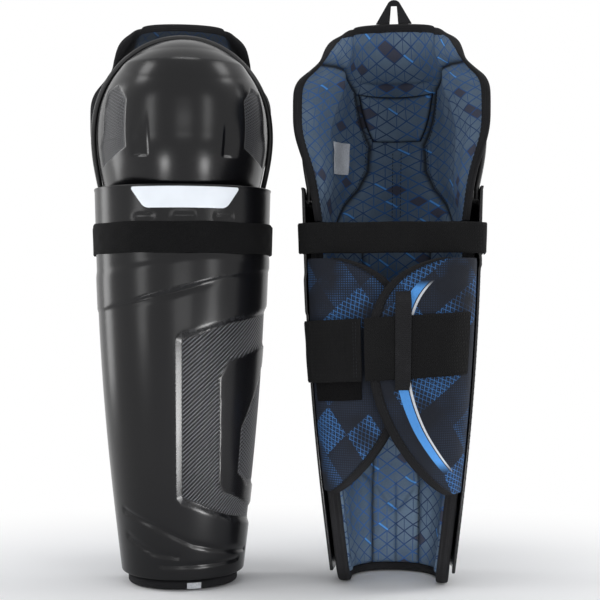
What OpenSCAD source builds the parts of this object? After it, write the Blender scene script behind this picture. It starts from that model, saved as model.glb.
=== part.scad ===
// Pair of ice hockey shin guards standing upright side by side.
// The right guard faces the viewer, the left guard is its mirror and shows its back.
// Every piece lies on one of four skins (shin, knee cap, knee liner, calf), at its own offset.
// Lengths in mm, +Z up, the right guard's front toward -Y.

/* [Pair] */
// Distance between the two guards' centre lines
pair_pitch = 177; // [172:1:220]
// Turn of each guard about the vertical, degrees
yaw = 7; // [0:1:12]

/* [Shin shell] */
// Height of the shell's top edge
shin_top = 326; // [306:1:350]
// Height of the shell's bottom edge above the floor
shin_bottom = 9; // [8:0.5:12]
// Width across the shell's top edge
shin_top_w = 147; // [140:1:152]
// Width across the shell's bottom edge
shin_bottom_w = 99; // [92:1:106]
// How far the front stands ahead of the widest line at the top
shin_top_d = 64; // [60:1:68]
// How far the front stands ahead of the widest line at the bottom
shin_bottom_d = 47; // [43:1:52]
// Outward swell at half height
shin_bulge = 5; // [3:0.5:7]
// Length of the straight side wall at the top
wall_top = 38; // [34:1:42]
// Length of the straight side wall at the bottom
wall_bottom = 30; // [26:1:34]
// Wall thickness of both shells
shell_t = 2.6; // [2:0.1:3.2]
// Depth of the ribbed panel
panel_depth = 2.2; // [1:0.1:2.6]
// Height of the ledge above the panel
ledge_h = 1.2; // [0.6:0.1:1.6]
// Depth of the flex grooves
groove_depth = 1.2; // [0.6:0.1:1.6]

/* [Knee cap] */
// Height of the cap's centre above the shin shell's top edge
knee_rise = 46; // [42:1:50]
// Height of the dome above its centre
knee_dome_h = 76; // [72:1:80]
// Width of the cap
knee_w = 144; // [138:1:148]
// Width of the cap where it tucks behind the shin shell
knee_tuck_w = 131; // [124:1:132]
// Depth of the cap from its rim to its front
knee_d = 88; // [84:1:92]
// Setback of the rim at the centre height
rim_y = 10; // [8:1:12]
// Forward lean of the rim plane, degrees
rim_lean = 18; // [14:1:20]
// How far the cap tucks behind the shin shell
knee_tuck = 10; // [6:1:14]
// How far the liner's wings reach past the cap's sides
wing_reach = 4.5; // [4:0.5:6]
// Clearance between the tucked cap and the shin shell
tuck_gap = 0.9; // [0.7:0.1:1.5]
// Width of the edge trim
trim_w = 4; // [2.5:0.5:4.5]
// Thickness of the edge trim
trim_t = 5; // [4:0.5:6]

/* [Padding] */
// Thickness of the foam pads
foam_t = 5; // [3:0.5:5.5]
// Thickness of the quilted liners
liner_t = 5; // [4:0.5:6]
// Share of the liner's thickness left in a stitched channel
channel_share = 0.5; // [0.4:0.05:0.8]
// Thickness of the knee centre pad
centre_pad_t = 4; // [3:0.5:6]
// Height of the bound hem
hem_h = 7; // [6:0.5:7.5]
// Rise of the shell's bottom edge toward its sides
hem_sweep = 3; // [2:0.5:4]
// Radius of the liner's lower rear corners
corner_r = 14; // [10:0.5:15]
// Width of the binding tape
binding_w = 7; // [5:0.5:8]
// Thickness over the binding tape
binding_t = 5.5; // [5:0.5:6]

/* [Calf wrap] */
// Thickness of the flaps
flap_t = 3.5; // [3:0.25:4]
// Height of the flaps' lower ends
flap_low = 76; // [74:1:94]
// How far the wrap stands behind the shell's edges
calf_bulge = 22; // [18:1:28]
// How far each flap reaches past the middle
flap_lap = 10; // [6:1:14]
// Height of the calf strap's middle
calf_strap_z = 196; // [188:1:204]
// Width of the calf strap
calf_strap_h = 50; // [42:1:54]
// Side distance of the strap keeper from the middle of the back
keeper_x = 9.5; // [7:0.5:14]
// Width of the strap keeper
keeper_w = 11; // [9:0.5:12]
// Rise of the calf strap toward its sewn end, degrees
calf_strap_tilt = 4; // [0:0.5:6]
// Reach of the tab toward the inner flap's side
tab_reach = 68; // [60:1:69]

/* [Upper strap] */
// Distance of the strap's middle below the shin shell's top edge
strap_drop = 42; // [41:0.5:44]
// Width of the upper strap
strap_h = 25; // [20:1:26]
// Thickness of the strap webbing
strap_t = 1.7; // [1.2:0.1:2]
// How far the back band stands behind the shell's edges
strap_bulge = 15; // [12:1:20]
// Length of the hook end along the side of the shell
hook_len = 28; // [20:1:30]

/* [Trim] */
// Width of the name plate at the top
plate_w = 80; // [70:1:86]
// Height of the name plate
plate_h = 17; // [14:0.5:19]
// Height of the pull loop
loop_h = 27; // [24:1:32]
// Width of the pull loop at its foot
loop_w = 30; // [28:1:36]
// Width of the slit in the pull loop
loop_slit = 5; // [4.8:0.1:6]

/* [Hidden] */
// Clear distance between neighbouring pieces
gap = 0.3;
// Clear distance between layers of soft pieces
soft_gap = 0.5;
// Clear distance between the moving flaps and the shell's edge
hinge_gap = 0.4;
// Sideways shift that brings the middle of the pair's footprint to the origin
centre_shift = 4.8;
// Thickness of plates, patches and tags
patch_t = 1.2;
black_shell = [0.03, 0.03, 0.035];
black_tape = [0.06, 0.06, 0.065];
webbing = [0.09, 0.09, 0.095];
foam_grey = [0.35, 0.36, 0.38];
liner_blue = [0.2, 0.27, 0.38];
flap_navy = [0.09, 0.12, 0.19];
white = [0.9, 0.9, 0.9];

// Helpers

function mix(a, b, t) = a + (b - a) * t;
function unit(v) = v / norm(v);
function steps(a, b, n) = [for (i = [0:n]) mix(a, b, i / n)];
function flat(c) = function(u, v) c;
function among(x, list) = len([for (c = list) if (abs(c - x) < 0.001) c]) > 0;

// A closed sheet between two offsets of the skin f(u, v, o), seen from outside with u to the right.
module sheet(f, us, vs, lo, hi) {
    n = len(us);
    m = len(vs);
    outer = [for (v = vs, u = us) f(u, v, hi(u, v))];
    inner = [for (v = vs, u = us) f(u, v, lo(u, v))];
    a = function(i, j) j * n + i;
    b = function(i, j) n * m + j * n + i;
    faces = [
        for (j = [0:m - 2], i = [0:n - 2]) each [
            [a(i, j), a(i, j + 1), a(i + 1, j + 1)],
            [a(i, j), a(i + 1, j + 1), a(i + 1, j)],
            [b(i, j), b(i + 1, j + 1), b(i, j + 1)],
            [b(i, j), b(i + 1, j), b(i + 1, j + 1)]],
        for (i = [0:n - 2]) each [
            [a(i, 0), a(i + 1, 0), b(i + 1, 0)],
            [a(i, 0), b(i + 1, 0), b(i, 0)],
            [a(i + 1, m - 1), a(i, m - 1), b(i, m - 1)],
            [a(i + 1, m - 1), b(i, m - 1), b(i + 1, m - 1)]],
        for (j = [0:m - 2]) each [
            [a(0, j + 1), a(0, j), b(0, j)],
            [a(0, j + 1), b(0, j), b(0, j + 1)],
            [a(n - 1, j), a(n - 1, j + 1), b(n - 1, j + 1)],
            [a(n - 1, j), b(n - 1, j + 1), b(n - 1, j)]]];
    polyhedron(concat(outer, inner), faces);
}

// A taped edge: a bead of width w and thickness t along path, leaving it in the across direction.
module bead(path, across, normal, w, t) {
    n = len(path);
    rim = [
        [soft_gap, -0.5 * t], [0.75 * w, -0.5 * t], [w, -0.2 * t],
        [w, 0.2 * t], [0.75 * w, 0.5 * t], [soft_gap, 0.5 * t]];
    k = len(rim);
    points = [
        for (i = [0:n - 1], r = [0:k - 1])
            path[i] + across[i] * rim[r][0] + normal[i] * rim[r][1]];
    faces = [
        [for (r = [0:k - 1]) r],
        [for (r = [k - 1:-1:0]) (n - 1) * k + r],
        for (i = [0:n - 2], r = [0:k - 1]) let (s = (r + 1) % k) each [
            [i * k + r, (i + 1) * k + r, (i + 1) * k + s],
            [i * k + r, (i + 1) * k + s, i * k + s]]];
    polyhedron(points, faces);
}

// Skin of the shin: half an ellipse in front, a straight wall on each side.

function share(z) = min(max(z / shin_top, 0), 1);
function swell(z) = shin_bulge * sin(180 * share(z));
function half_w(z) = mix(shin_bottom_w, shin_top_w, share(z)) / 2 + swell(z);
function front_d(z) = mix(shin_bottom_d, shin_top_d, share(z)) + swell(z);
function wall_len(z) = mix(wall_bottom, wall_top, share(z));
shin_mid = shin_top / 2;
arc_girth = 1.57 * (half_w(shin_mid) + front_d(shin_mid)) / 2;
half_girth = arc_girth + wall_len(shin_mid);
arc_share = arc_girth / half_girth;

skin = function(u, z, o)
    let (s = u < 0 ? -1 : 1, a = abs(u))
    a <= arc_share
        ? [s * (half_w(z) + o) * sin(90 * a / arc_share), -(front_d(z) + o) * cos(90 * a / arc_share), z]
        : [s * (half_w(z) + o), wall_len(z) * (a - arc_share) / (1 - arc_share), z];

// Shin shell: rows follow the moulded lines, given as height against girth from the front line.

// The lines are drawn on a half girth of 133.7 and a shell 326 high, and keep their shares of both.
scale_g = half_girth / 133.7;
scale_z = shin_top / 326;
panel_left = -8;
panel_floor = 0;
island_foot = 24;
island_edge = 28;
panel_right = 121;
drawn_columns = [
    -117, -86, -74, -62, -50, -39, -28, -18, panel_left, panel_floor, 12,
    island_foot, island_edge, 38, 50, 62, 74, 86, 117];
drawn_shares = [for (g = drawn_columns) g * scale_g / half_girth];
shell_columns = concat(
    [-1, drawn_shares[0], -arc_share],
    [for (u = drawn_shares) if (abs(u) < arc_share) u],
    [arc_share, drawn_shares[len(drawn_shares) - 1], 1]);
hem_line = function(g) shin_bottom + hem_sweep * pow(g * scale_g / half_girth, 2);
flex_line = function(g) hem_line(g) / scale_z + 8;
diagonal_line = function(g) lookup(g, [[-140, 70], [-60, 62], [-23, 42], [10, 31], [40, 27], [140, 27]]);
panel_low = function(g) lookup(g, [[-140, 88], [panel_left, 66], [28, 50], [140, 45]]);
island_low = function(g) lookup(g, [[-140, 100], [island_foot, 83], [52, 70], [140, 66]]);
island_high = function(g) lookup(g, [[-140, 170], [island_foot, 166], [38, 181], [80, 194], [140, 203]]);
panel_high = function(g) lookup(g, [[-140, 196], [panel_left, 197], [36, 213], [110, 227], [140, 230]]);
ledge_line = function(g) lookup(g, [[-140, 219], [-75, 222], [-40, 229], [25, 246], [70, 248], [140, 250]]);
crease_line = function(g) lookup(g, [[-140, 253], [0, 258], [140, 262]]);
shell_rows = [
    [hem_line, 0], [flex_line, -2.5], [flex_line, 0], [flex_line, 2.5],
    [diagonal_line, -2.5], [diagonal_line, 0], [diagonal_line, 2.5],
    [panel_low, 0], [panel_low, 5], [island_low, 0], [island_low, 4],
    [function(g) mix(island_low(g), island_high(g), 0.5), 0],
    [island_high, -4], [island_high, 0], [panel_high, -5], [panel_high, 0],
    [ledge_line, 0], [ledge_line, 2.5], [crease_line, 0], [crease_line, 6],
    [function(g) 300, 0], [function(g) 326, 0]];
function row_z(r, g) = r == 0 ? hem_line(g) : scale_z * (shell_rows[r][0](g) + shell_rows[r][1]);
row_crease = 18;

shell_relief = function(u, r)
    let (g = u * half_girth / scale_g)
    r == 2 && g > -24 && g < 66 ? -groove_depth
    : r == 5 && g > -70 && g < 66 ? -groove_depth
    : r >= 8 && r <= 14 && g > panel_floor - 1 && g < panel_right
        ? (r >= 10 && r <= 12 && g > island_edge - 1 ? -0.3 * panel_depth : -panel_depth)
    : r >= 17 && r <= row_crease ? ledge_h
    : 0;

module shin_shell() {
    place = function(u, r, o) skin(u, row_z(r, u * half_girth / scale_g), o);
    rows = [for (r = [0:len(shell_rows) - 1]) r];
    color(black_shell)
        sheet(place, shell_columns, rows, function(u, r) shell_relief(u, r) - shell_t, shell_relief);
}

// Layers inside the shell, as offsets from the shin skin

shell_in = -(shell_t + panel_depth);
foam_out = shell_in - gap;
foam_in = foam_out - foam_t;
liner_out = foam_in - gap;
knee_seat = shin_top - 28;
liner_high = knee_seat - 4;
liner_side = 0.93;
liner_foot = hem_h + gap;
corner_share = liner_side - corner_r / half_girth;
liner_columns = [
    -liner_side, -0.88, -corner_share, -arc_share, -0.6, -0.47, -0.34, -0.22, -0.11, 0,
    0.11, 0.22, 0.34, 0.47, 0.6, arc_share, corner_share, 0.88, liner_side];
// Height of the liner's lower edge, which turns up at the rear corners
function corner_z(u) =
    let (past = max(0, abs(u) - corner_share) * half_girth)
    liner_foot + corner_r - sqrt(max(0, corner_r * corner_r - past * past));
liner_channels = [-arc_share, -0.34, 0.34, arc_share];
liner_rows = [liner_foot, 24, 52, 97, 112, 150, 190, 205, 260, 282];
liner_ties = [97, 205];

module shin_foam() {
    columns = [for (u = liner_columns) if (abs(u) < 0.85) u];
    rows = [for (z = [22, 52, 97, 150, 205, 260, 282]) z * scale_z];
    color(foam_grey)
        sheet(skin, columns, rows, flat(foam_in), flat(foam_out));
}

module shin_liner() {
    place = function(u, z, o) skin(u, max(z, corner_z(u)), o);
    rows = [for (z = liner_rows) z == liner_foot ? z : z * scale_z];
    quilted = function(u, z) among(u, liner_channels) || among(z / scale_z, liner_ties);
    depth = function(u, z) liner_out - liner_t * (quilted(u, z) ? channel_share : 1);
    color(liner_blue)
        sheet(place, liner_columns, concat(rows, [liner_high]), depth, flat(liner_out));
}

// Tape round the liner's lower edge and up both rear edges, as one bead.
module hem() {
    middle = (foam_out + liner_out - liner_t) / 2;
    corner = function(a, hand) [
        hand * (corner_share + corner_r * sin(a) / half_girth), liner_foot + corner_r * (1 - cos(a)), a];
    rise = [for (z = [286, 210, 130, 60]) z * scale_z];
    turn = steps(90, 0, 4);
    base = steps(corner_share, -corner_share, 14);
    spots = concat(
        [for (z = rise) [liner_side, z, 90]],
        [for (a = turn) corner(a, 1)],
        [for (i = [1:len(base) - 2]) [base[i], liner_foot, 0]],
        [for (i = [len(turn) - 1:-1:0]) corner(turn[i], -1)],
        [for (i = [len(rise) - 1:-1:0]) [-liner_side, rise[i], 90]]);
    path = [for (s = spots) skin(s[0], s[1], middle)];
    leaving = [for (s = spots) [0, sin(s[2]), -cos(s[2])]];
    facing = [for (s = spots) unit(skin(s[0], s[1], 1) - skin(s[0], s[1], -1))];
    color(black_tape)
        bead(path, leaving, facing, liner_foot, foam_out - liner_out + liner_t);
}

module hem_tag() {
    base = foam_out + 2 * gap;
    color(white)
        sheet(skin, steps(0.02, 0.14, 3), [1, hem_h - 1], flat(base), flat(base + 0.8));
}

module name_plate() {
    half = plate_w / 2 / half_girth;
    place = function(t, v, o) skin(t * half * mix(0.72, 1, v), shin_top - 2 - plate_h * (1 - v), o);
    color(white)
        sheet(place, steps(-1, 1, 12), [0, 0.5, 1], flat(gap), flat(gap + patch_t));
}

// Upper strap

strap_z = shin_top - strap_drop;
strap_rows = steps(strap_z - strap_h / 2, strap_z + strap_h / 2, 2);
strap_out = gap + strap_t + gap;
strap_foot = 0.6;

// Skin of the back band: half an ellipse behind the shell's edges.
strap_skin = function(p, z, o) [
    (half_w(z) + strap_out + o) * sin(90 * p),
    wall_len(z) + strap_foot + (strap_bulge + o) * cos(90 * p),
    z];

module strap_front() {
    columns = [for (u = shell_columns) max(-0.99, min(0.99, u))];
    color(webbing)
        sheet(skin, columns, strap_rows, flat(gap), flat(gap + strap_t));
}

module strap_back() {
    color(webbing)
        sheet(strap_skin, steps(1, -1, 16), strap_rows, flat(0), flat(strap_t));
}

module hook_end() {
    place = function(q, z, o) [half_w(z) + strap_out + o, wall_len(z) + strap_foot - gap - hook_len * q, z];
    color(webbing)
        sheet(place, steps(1, 0, 3), strap_rows, flat(0), flat(strap_t));
}

// Skin of the knee cap: a dome above its centre, a tapering bowl below it.

knee_z = shin_top + knee_rise;
knee_low = shin_top - knee_tuck;
function rim_at(z) = rim_y - tan(rim_lean) * (z - knee_z);
tuck_front = front_d(shin_top) - shell_t - tuck_gap;
// Share of the full bowl at a height: none where the cap is tucked, all of it at the centre.
function bowl(z) = cos(90 * min(1, (knee_z - z) / (knee_rise + 1)));
function bowl_d(z) = rim_at(z) + mix(tuck_front, knee_d - rim_y, bowl(z));

cap_skin = function(a, b, o)
    let (U = sin(90 * a), V = sin(90 * b))
    b >= 0
        ? let (z = knee_z + (knee_dome_h + o) * V * sqrt(1 - U * U / 2))
          [(knee_w / 2 + o) * U * sqrt(1 - V * V / 2),
           rim_at(z) - (knee_d + o) * cos(90 * a) * cos(90 * b),
           z]
        : let (z = mix(knee_z, knee_low, -b))
          [(mix(knee_tuck_w, knee_w, bowl(z)) / 2 + o) * U, rim_at(z) - (bowl_d(z) + o) * cos(90 * a), z];

cap_columns = [
    -1, -0.9, -0.78, -0.66, -0.54, -0.42, -0.34, -0.3, -0.26, -0.17, -0.08,
    0.08, 0.17, 0.26, 0.3, 0.34, 0.42, 0.54, 0.66, 0.78, 0.9, 1];
cap_rows = [
    -1, -0.85, -0.7, -0.55, -0.4, -0.25, -0.1, 0.05,
    0.17, 0.29, 0.4, 0.46, 0.52, 0.64, 0.76, 0.88, 1];

// Grooves beside the front, pockets at the sides and a crease over the top.
cap_relief = function(a, b)
    among(abs(a), [0.3]) && b > -0.8 && b < 0.2 ? -groove_depth
    : abs(a) > 0.64 && abs(a) < 0.8 && b > -0.6 && b < 0.42 ? -1.2
    : among(b, [0.46]) && abs(a) < 0.7 ? -0.8
    : 0;

module knee_cap() {
    color(black_shell)
        sheet(cap_skin, cap_columns, cap_rows, function(a, b) cap_relief(a, b) - shell_t, cap_relief);
}

module knee_trim() {
    sides = cap_rows;
    rim = concat(
        [for (b = sides) cap_skin(-1, b, 0)],
        [for (a = steps(-0.9, 0.9, 12)) cap_skin(a, 1, 0)],
        [for (i = [len(sides) - 1:-1:0]) cap_skin(1, sides[i], 0)]);
    flat_out = [for (p = rim) unit([p[0], 0, max(0, p[2] - knee_z) * knee_w / 2 / knee_dome_h])];
    color(black_tape)
        bead(rim, flat_out, [for (p = rim) [0, -1, 0]], trim_w, trim_t);
}

module knee_foam() {
    color(foam_grey)
        sheet(cap_skin, steps(-0.62, 0.62, 10), [-0.35, -0.18, 0, 0.15, 0.3, 0.42],
              flat(-(shell_t + 1.5 + foam_t)), flat(-(shell_t + 1.5)));
}

// Skin of the knee liner: stations from the seat up to the top of the thigh lobe, each with a
// middle line (front), a turn line where the cup meets the wing, and an edge line.

lining_in = shell_t + 1.5 + foam_t + 2.2;
lobe_top = knee_z + knee_dome_h + 11;
cup_front = knee_d - rim_y - lining_in;
cup_w = knee_w / 2 - lining_in;
dome_z = function(k) knee_z + knee_dome_h * k;
stations = [0, 0.2, 0.45, 0.7, 0.84, 0.92, 1];
function line_at(v, values) = lookup(v, [for (i = [0:len(stations) - 1]) [stations[i], values[i]]]);
mid_z = [knee_seat, knee_z - 42, knee_z, dome_z(0.6), dome_z(0.83), dome_z(0.97), lobe_top];
mid_y = [-cup_front + 19, -cup_front + 9, -cup_front, -cup_front + 12, -25, -5, -3];
tuck_side = knee_tuck_w / 2 - lining_in;
turn_side = [tuck_side + 2.5, tuck_side + 4.3, cup_w, 0.8 * cup_w, 0.7 * cup_w, 0.65 * cup_w, 0.6 * cup_w];
turn_y = [12, 14, 14, 9, 6, 4, 1];
turn_z = [knee_seat, knee_z - 42, knee_z, dome_z(0.56), dome_z(0.78), dome_z(0.93), lobe_top - 5];
wing = knee_w / 2 + wing_reach;
seat_side = half_w(shin_top) - 12;
edge_x = [seat_side, seat_side + 4.5, wing, wing - 1, wing - 9, wing - 22, wing - 28];
edge_y = [32, 40, 45, 43, 34, 22, 4];
edge_z = [knee_seat, knee_z - 40, knee_z + 2, dome_z(0.44), dome_z(0.64), dome_z(0.8), lobe_top - 13];
turn_share = 0.62;

lining = function(u, v, o)
    let (s = u < 0 ? -1 : 1, a = abs(u))
    let (t = min(a / turn_share, 1), w = max(0, (a - turn_share) / (1 - turn_share)))
    let (cup_depth = line_at(v, turn_y) - line_at(v, mid_y) + o)
    [s * mix((line_at(v, turn_side) + o) * sin(90 * t), line_at(v, edge_x) + o, w),
     mix(line_at(v, turn_y) - cup_depth * cos(90 * t), line_at(v, edge_y), w),
     mix(mix(line_at(v, mid_z), line_at(v, turn_z), t * t), line_at(v, edge_z), w)];

lining_columns = [-1, -0.87, -0.74, -0.62, -0.5, -0.36, -0.24, -0.12, 0,
                  0.12, 0.24, 0.36, 0.5, 0.62, 0.74, 0.87, 1];
lining_rows = [0, 0.1, 0.2, 0.32, 0.45, 0.54, 0.62, 0.7, 0.77, 0.84, 0.92, 1];
lining_channels = [0.36, 0.62];
lining_ties = [0.2, 0.7];

module knee_liner() {
    quilted = function(u, v) among(abs(u), lining_channels) || among(v, lining_ties);
    depth = function(u, v) -liner_t * (quilted(u, v) ? channel_share : 1);
    color(liner_blue)
        sheet(lining, lining_columns, lining_rows, depth, flat(0));
}

module knee_binding() {
    spots = concat(
        [for (v = lining_rows) [-1, v, -0.94, v]],
        [for (u = [for (c = lining_columns) if (abs(c) < 0.95) c]) [u, 1, u, 0.95]],
        [for (i = [len(lining_rows) - 1:-1:0]) [1, lining_rows[i], 0.94, lining_rows[i]]]);
    middle = function(u, v) lining(u, v, -liner_t / 2);
    path = [for (s = spots) middle(s[0], s[1])];
    leaving = [for (s = spots) unit(middle(s[0], s[1]) - middle(s[2], s[3]))];
    facing = [for (s = spots) unit(lining(s[0], s[1], 1) - lining(s[0], s[1], -1))];
    color(black_tape)
        bead(path, leaving, facing, binding_w, binding_t);
}

module knee_pad() {
    place = function(t, v, o) lining(t * mix(0.16, 0.33, (v - 0.46) / 0.23), v, o);
    foot = -(liner_t + 2 * soft_gap);
    border = function(t, v) abs(t) > 0.9 || v < 0.47 || v > 0.68;
    crown = function(t, v) foot - centre_pad_t * (border(t, v) ? 0.4 : 1);
    color(liner_blue)
        sheet(place, [-1, -0.75, -0.35, 0, 0.35, 0.75, 1], [0.46, 0.5, 0.57, 0.65, 0.69], crown, flat(foot));
}

module size_label() {
    color([0.72, 0.73, 0.74])
        sheet(lining, steps(-0.6, -0.42, 3), steps(0.26, 0.43, 2),
              flat(-(liner_t + gap + patch_t)), flat(-(liner_t + gap)));
}

module pull_loop(folded = false) {
    foot = lining(0, 1, -liner_t / 2);
    apex = loop_h - 6;
    color(webbing)
        translate(foot + [0, folded ? binding_t / 2 + 0.6 : 1.25, binding_w + gap])
            rotate([folded ? -75 : 90, 0, 0])
                linear_extrude(2.5)
                    difference() {
                        hull() {
                            translate([0, apex - binding_w])
                                circle(6, $fn = 24);
                            translate([-loop_w / 2, 0])
                                square([loop_w, 2]);
                        }
                        polygon([
                            [-loop_slit * 0.7, 2.5], [loop_slit * 0.7, 2.5],
                            [loop_slit / 2, apex - binding_w + 1], [-loop_slit / 2, apex - binding_w + 1]]);
                    }
}

// Skin of the calf wrap: half an ellipse behind the shell's edges, with separate side and back offsets.

flap_high = strap_z - strap_h / 2 - 2;
calf_in = shell_t + flap_t + 0.6;
function calf_x(z) = half_w(z) - calf_in;
function calf(turn, z, side, back) = [
    (calf_x(z) + side) * sin(turn),
    wall_len(z) + hinge_gap + (calf_bulge + back) * cos(turn),
    z];
function turn_at(x, z) = asin(max(-1, min(1, x / calf_x(z))));

// Share of a flap's full reach at a height: blunt above the strap, tapering below.
flap_waist = 0.58;
function reach_share(t) =
    t > flap_waist
        ? sqrt(1 - pow((t - flap_waist) / (1 - flap_waist), 3))
        : pow(1 - pow((flap_waist - t) / flap_waist, 2), 0.8);
flap_rows = [0.015, 0.05, 0.1, 0.17, 0.26, 0.36, 0.47, 0.58, 0.68, 0.78, 0.86, 0.93, 0.97, 0.99];
function flap_z(t) = mix(flap_low, flap_high, t);

// Point on a flap at share q of its reach (0 at the hinge side), hand = 1 for the outer flap's side.
function flap_point(q, t, hand, side, back) =
    let (z = flap_z(t), w = calf_x(z), free = w - (w + flap_lap) * reach_share(t))
    calf(hand * mix(90, turn_at(free, z), q), z, side, back);

// Outward offsets of the layers of the wrap at the back
lap_step = flap_t + 2.6;
band_lift = 1.6;
band_side = flap_t + band_lift;
band_back = lap_step + band_side;
loop_back = flap_t + soft_gap;
hook_back = loop_back + patch_t + soft_gap;
tab_back = hook_back + patch_t + soft_gap;

function flap_out(t, q) = q > 0.98 || t < 0.02 || t > 0.98 ? 0.8 : 1;

module outer_flap() {
    place = function(q, t, o) flap_point(q, t, 1, o, lap_step + o);
    color(flap_navy)
        sheet(place, steps(0, 1, 8), flap_rows, flat(0),
              function(q, t) flap_t * flap_out(t, q));
}

module inner_flap() {
    place = function(q, t, o) flap_point(q, t, -1, o, o);
    color(flap_navy)
        sheet(place, steps(1, 0, 8), flap_rows, flat(0),
              function(q, t) flap_t * flap_out(t, q));
}

module flap_binding(hand, back) {
    middle = function(q, t) flap_point(q, t, hand, flap_t / 2, back + flap_t / 2);
    order = hand > 0 ? flap_rows : [for (i = [len(flap_rows) - 1:-1:0]) flap_rows[i]];
    path = [for (t = order) middle(1, t)];
    leaving = [for (t = order) unit(middle(1, t) - middle(0.94, t))];
    through = function(t) flap_point(1, t, hand, flap_t, back + flap_t) - flap_point(1, t, hand, 0, back);
    facing = [for (t = order) unit(through(t))];
    color(black_tape)
        bead(path, leaving, facing, binding_w, binding_t);
}

module outer_binding() {
    flap_binding(1, lap_step);
}

module inner_binding() {
    flap_binding(-1, 0);
}

// Calf strap: a band on the outer flap, a keeper over it and a tab past the flap's free edge.

function tilt_z(x, v) = calf_strap_z + x * tan(calf_strap_tilt) + calf_strap_h * (v - 0.5);
band_root = 56;
band_end = -(flap_lap + binding_w + 1);
tab_start = band_end - 1;
band_rows = [0, 0.5, 1];

// Turning angles from one side distance to another, read at the strap's height
function turns(x0, x1, n) = steps(turn_at(x0, calf_strap_z), turn_at(x1, calf_strap_z), n);
function turn_x(turn) = calf_x(calf_strap_z) * sin(turn);

module calf_strap() {
    place = function(turn, v, o) calf(turn, tilt_z(turn_x(turn), v), band_side + o, band_back + o);
    color(webbing)
        sheet(place, turns(band_root, band_end, 10), band_rows, flat(0), flat(strap_t));
}

module strap_keeper() {
    over = strap_t + soft_gap;
    sewn = -band_lift + gap;
    clear = calf_strap_h / 2 + 5;
    foot = clear + 9;
    rise = function(z) lookup(z, [[-foot, sewn], [-clear, over], [clear, over], [foot, sewn]]);
    place = function(turn, z, o)
        let (k = rise(z) + o)
        calf(turn, calf_strap_z + 6 + z, band_side + k, band_back + k);
    color(webbing)
        sheet(place, turns(keeper_x + keeper_w / 2, keeper_x - keeper_w / 2, 2),
              [-foot, -clear, -clear / 2, 0, clear / 2, clear, foot], flat(0), flat(patch_t));
}

module strap_tab() {
    seam = turn_at(tab_start, calf_strap_z);
    flat_turn = turn_at(tab_start - 13, calf_strap_z);
    drop = function(turn) lookup(turn, [[flat_turn, tab_back], [seam, band_back]]);
    end = -asin(tab_reach / (calf_x(calf_strap_z) + tab_back));
    place = function(turn, v, o) let (k = drop(turn) + o) calf(turn, tilt_z(turn_x(turn), v), k, k);
    color(webbing)
        sheet(place, concat([seam, mix(seam, flat_turn, 0.5)], steps(flat_turn, end, 7)), band_rows,
              flat(0), flat(strap_t));
}

module tab_hook() {
    place = function(turn, v, o) calf(turn, tilt_z(turn_x(turn), v), hook_back + o, hook_back + o);
    color(webbing)
        sheet(place, turns(tab_start - 15, -(tab_reach - 10), 5), [0.08, 0.5, 0.92], flat(0), flat(patch_t));
}

module loop_patch() {
    place = function(turn, v, o) calf(turn, tilt_z(turn_x(turn), v), loop_back + o, loop_back + o);
    color(webbing)
        sheet(place, turns(tab_start - 3, -(tab_reach - 10), 6), [-0.3, 0.28, 0.85], flat(0), flat(patch_t));
}

// Places of the two guards

module right_guard() {
    translate([centre_shift - pair_pitch / 2, 0, 0])
        rotate([0, 0, yaw])
            children();
}

module left_guard() {
    translate([centre_shift + pair_pitch / 2, 0, 0])
        mirror([0, 1, 0])
            rotate([0, 0, yaw])
                children();
}

right_guard() shin_shell();  // right_shin_shell
right_guard() shin_foam();  // right_shin_foam
right_guard() shin_liner();  // right_shin_liner
right_guard() hem();  // right_hem
right_guard() name_plate();  // right_name_plate
right_guard() strap_front();  // right_strap_front
right_guard() hem_tag();  // right_hem_tag
right_guard() knee_cap();  // right_knee_cap
right_guard() knee_trim();  // right_knee_trim
right_guard() knee_foam();  // right_knee_foam
right_guard() knee_liner();  // right_knee_liner
right_guard() knee_binding();  // right_knee_binding
right_guard() knee_pad();  // right_knee_pad
right_guard() pull_loop(folded = true);  // right_pull_loop
right_guard() size_label();  // right_size_label
right_guard() outer_flap();  // right_outer_flap
right_guard() outer_binding();  // right_outer_binding
right_guard() calf_strap();  // right_calf_strap
right_guard() strap_keeper();  // right_strap_keeper
right_guard() strap_tab();  // right_strap_tab
right_guard() tab_hook();  // right_tab_hook
right_guard() inner_flap();  // right_inner_flap
right_guard() inner_binding();  // right_inner_binding
right_guard() loop_patch();  // right_loop_patch
right_guard() strap_back();  // right_strap_back
right_guard() hook_end();  // right_hook_end
left_guard() shin_shell();  // left_shin_shell
left_guard() shin_foam();  // left_shin_foam
left_guard() shin_liner();  // left_shin_liner
left_guard() hem();  // left_hem
left_guard() name_plate();  // left_name_plate
left_guard() strap_front();  // left_strap_front
left_guard() hem_tag();  // left_hem_tag
left_guard() knee_cap();  // left_knee_cap
left_guard() knee_trim();  // left_knee_trim
left_guard() knee_foam();  // left_knee_foam
left_guard() knee_liner();  // left_knee_liner
left_guard() knee_binding();  // left_knee_binding
left_guard() knee_pad();  // left_knee_pad
left_guard() pull_loop();  // left_pull_loop
left_guard() size_label();  // left_size_label
left_guard() outer_flap();  // left_outer_flap
left_guard() outer_binding();  // left_outer_binding
left_guard() calf_strap();  // left_calf_strap
left_guard() strap_keeper();  // left_strap_keeper
left_guard() strap_tab();  // left_strap_tab
left_guard() tab_hook();  // left_tab_hook
left_guard() inner_flap();  // left_inner_flap
left_guard() inner_binding();  // left_inner_binding
left_guard() loop_patch();  // left_loop_patch
left_guard() strap_back();  // left_strap_back
left_guard() hook_end();  // left_hook_end
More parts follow.
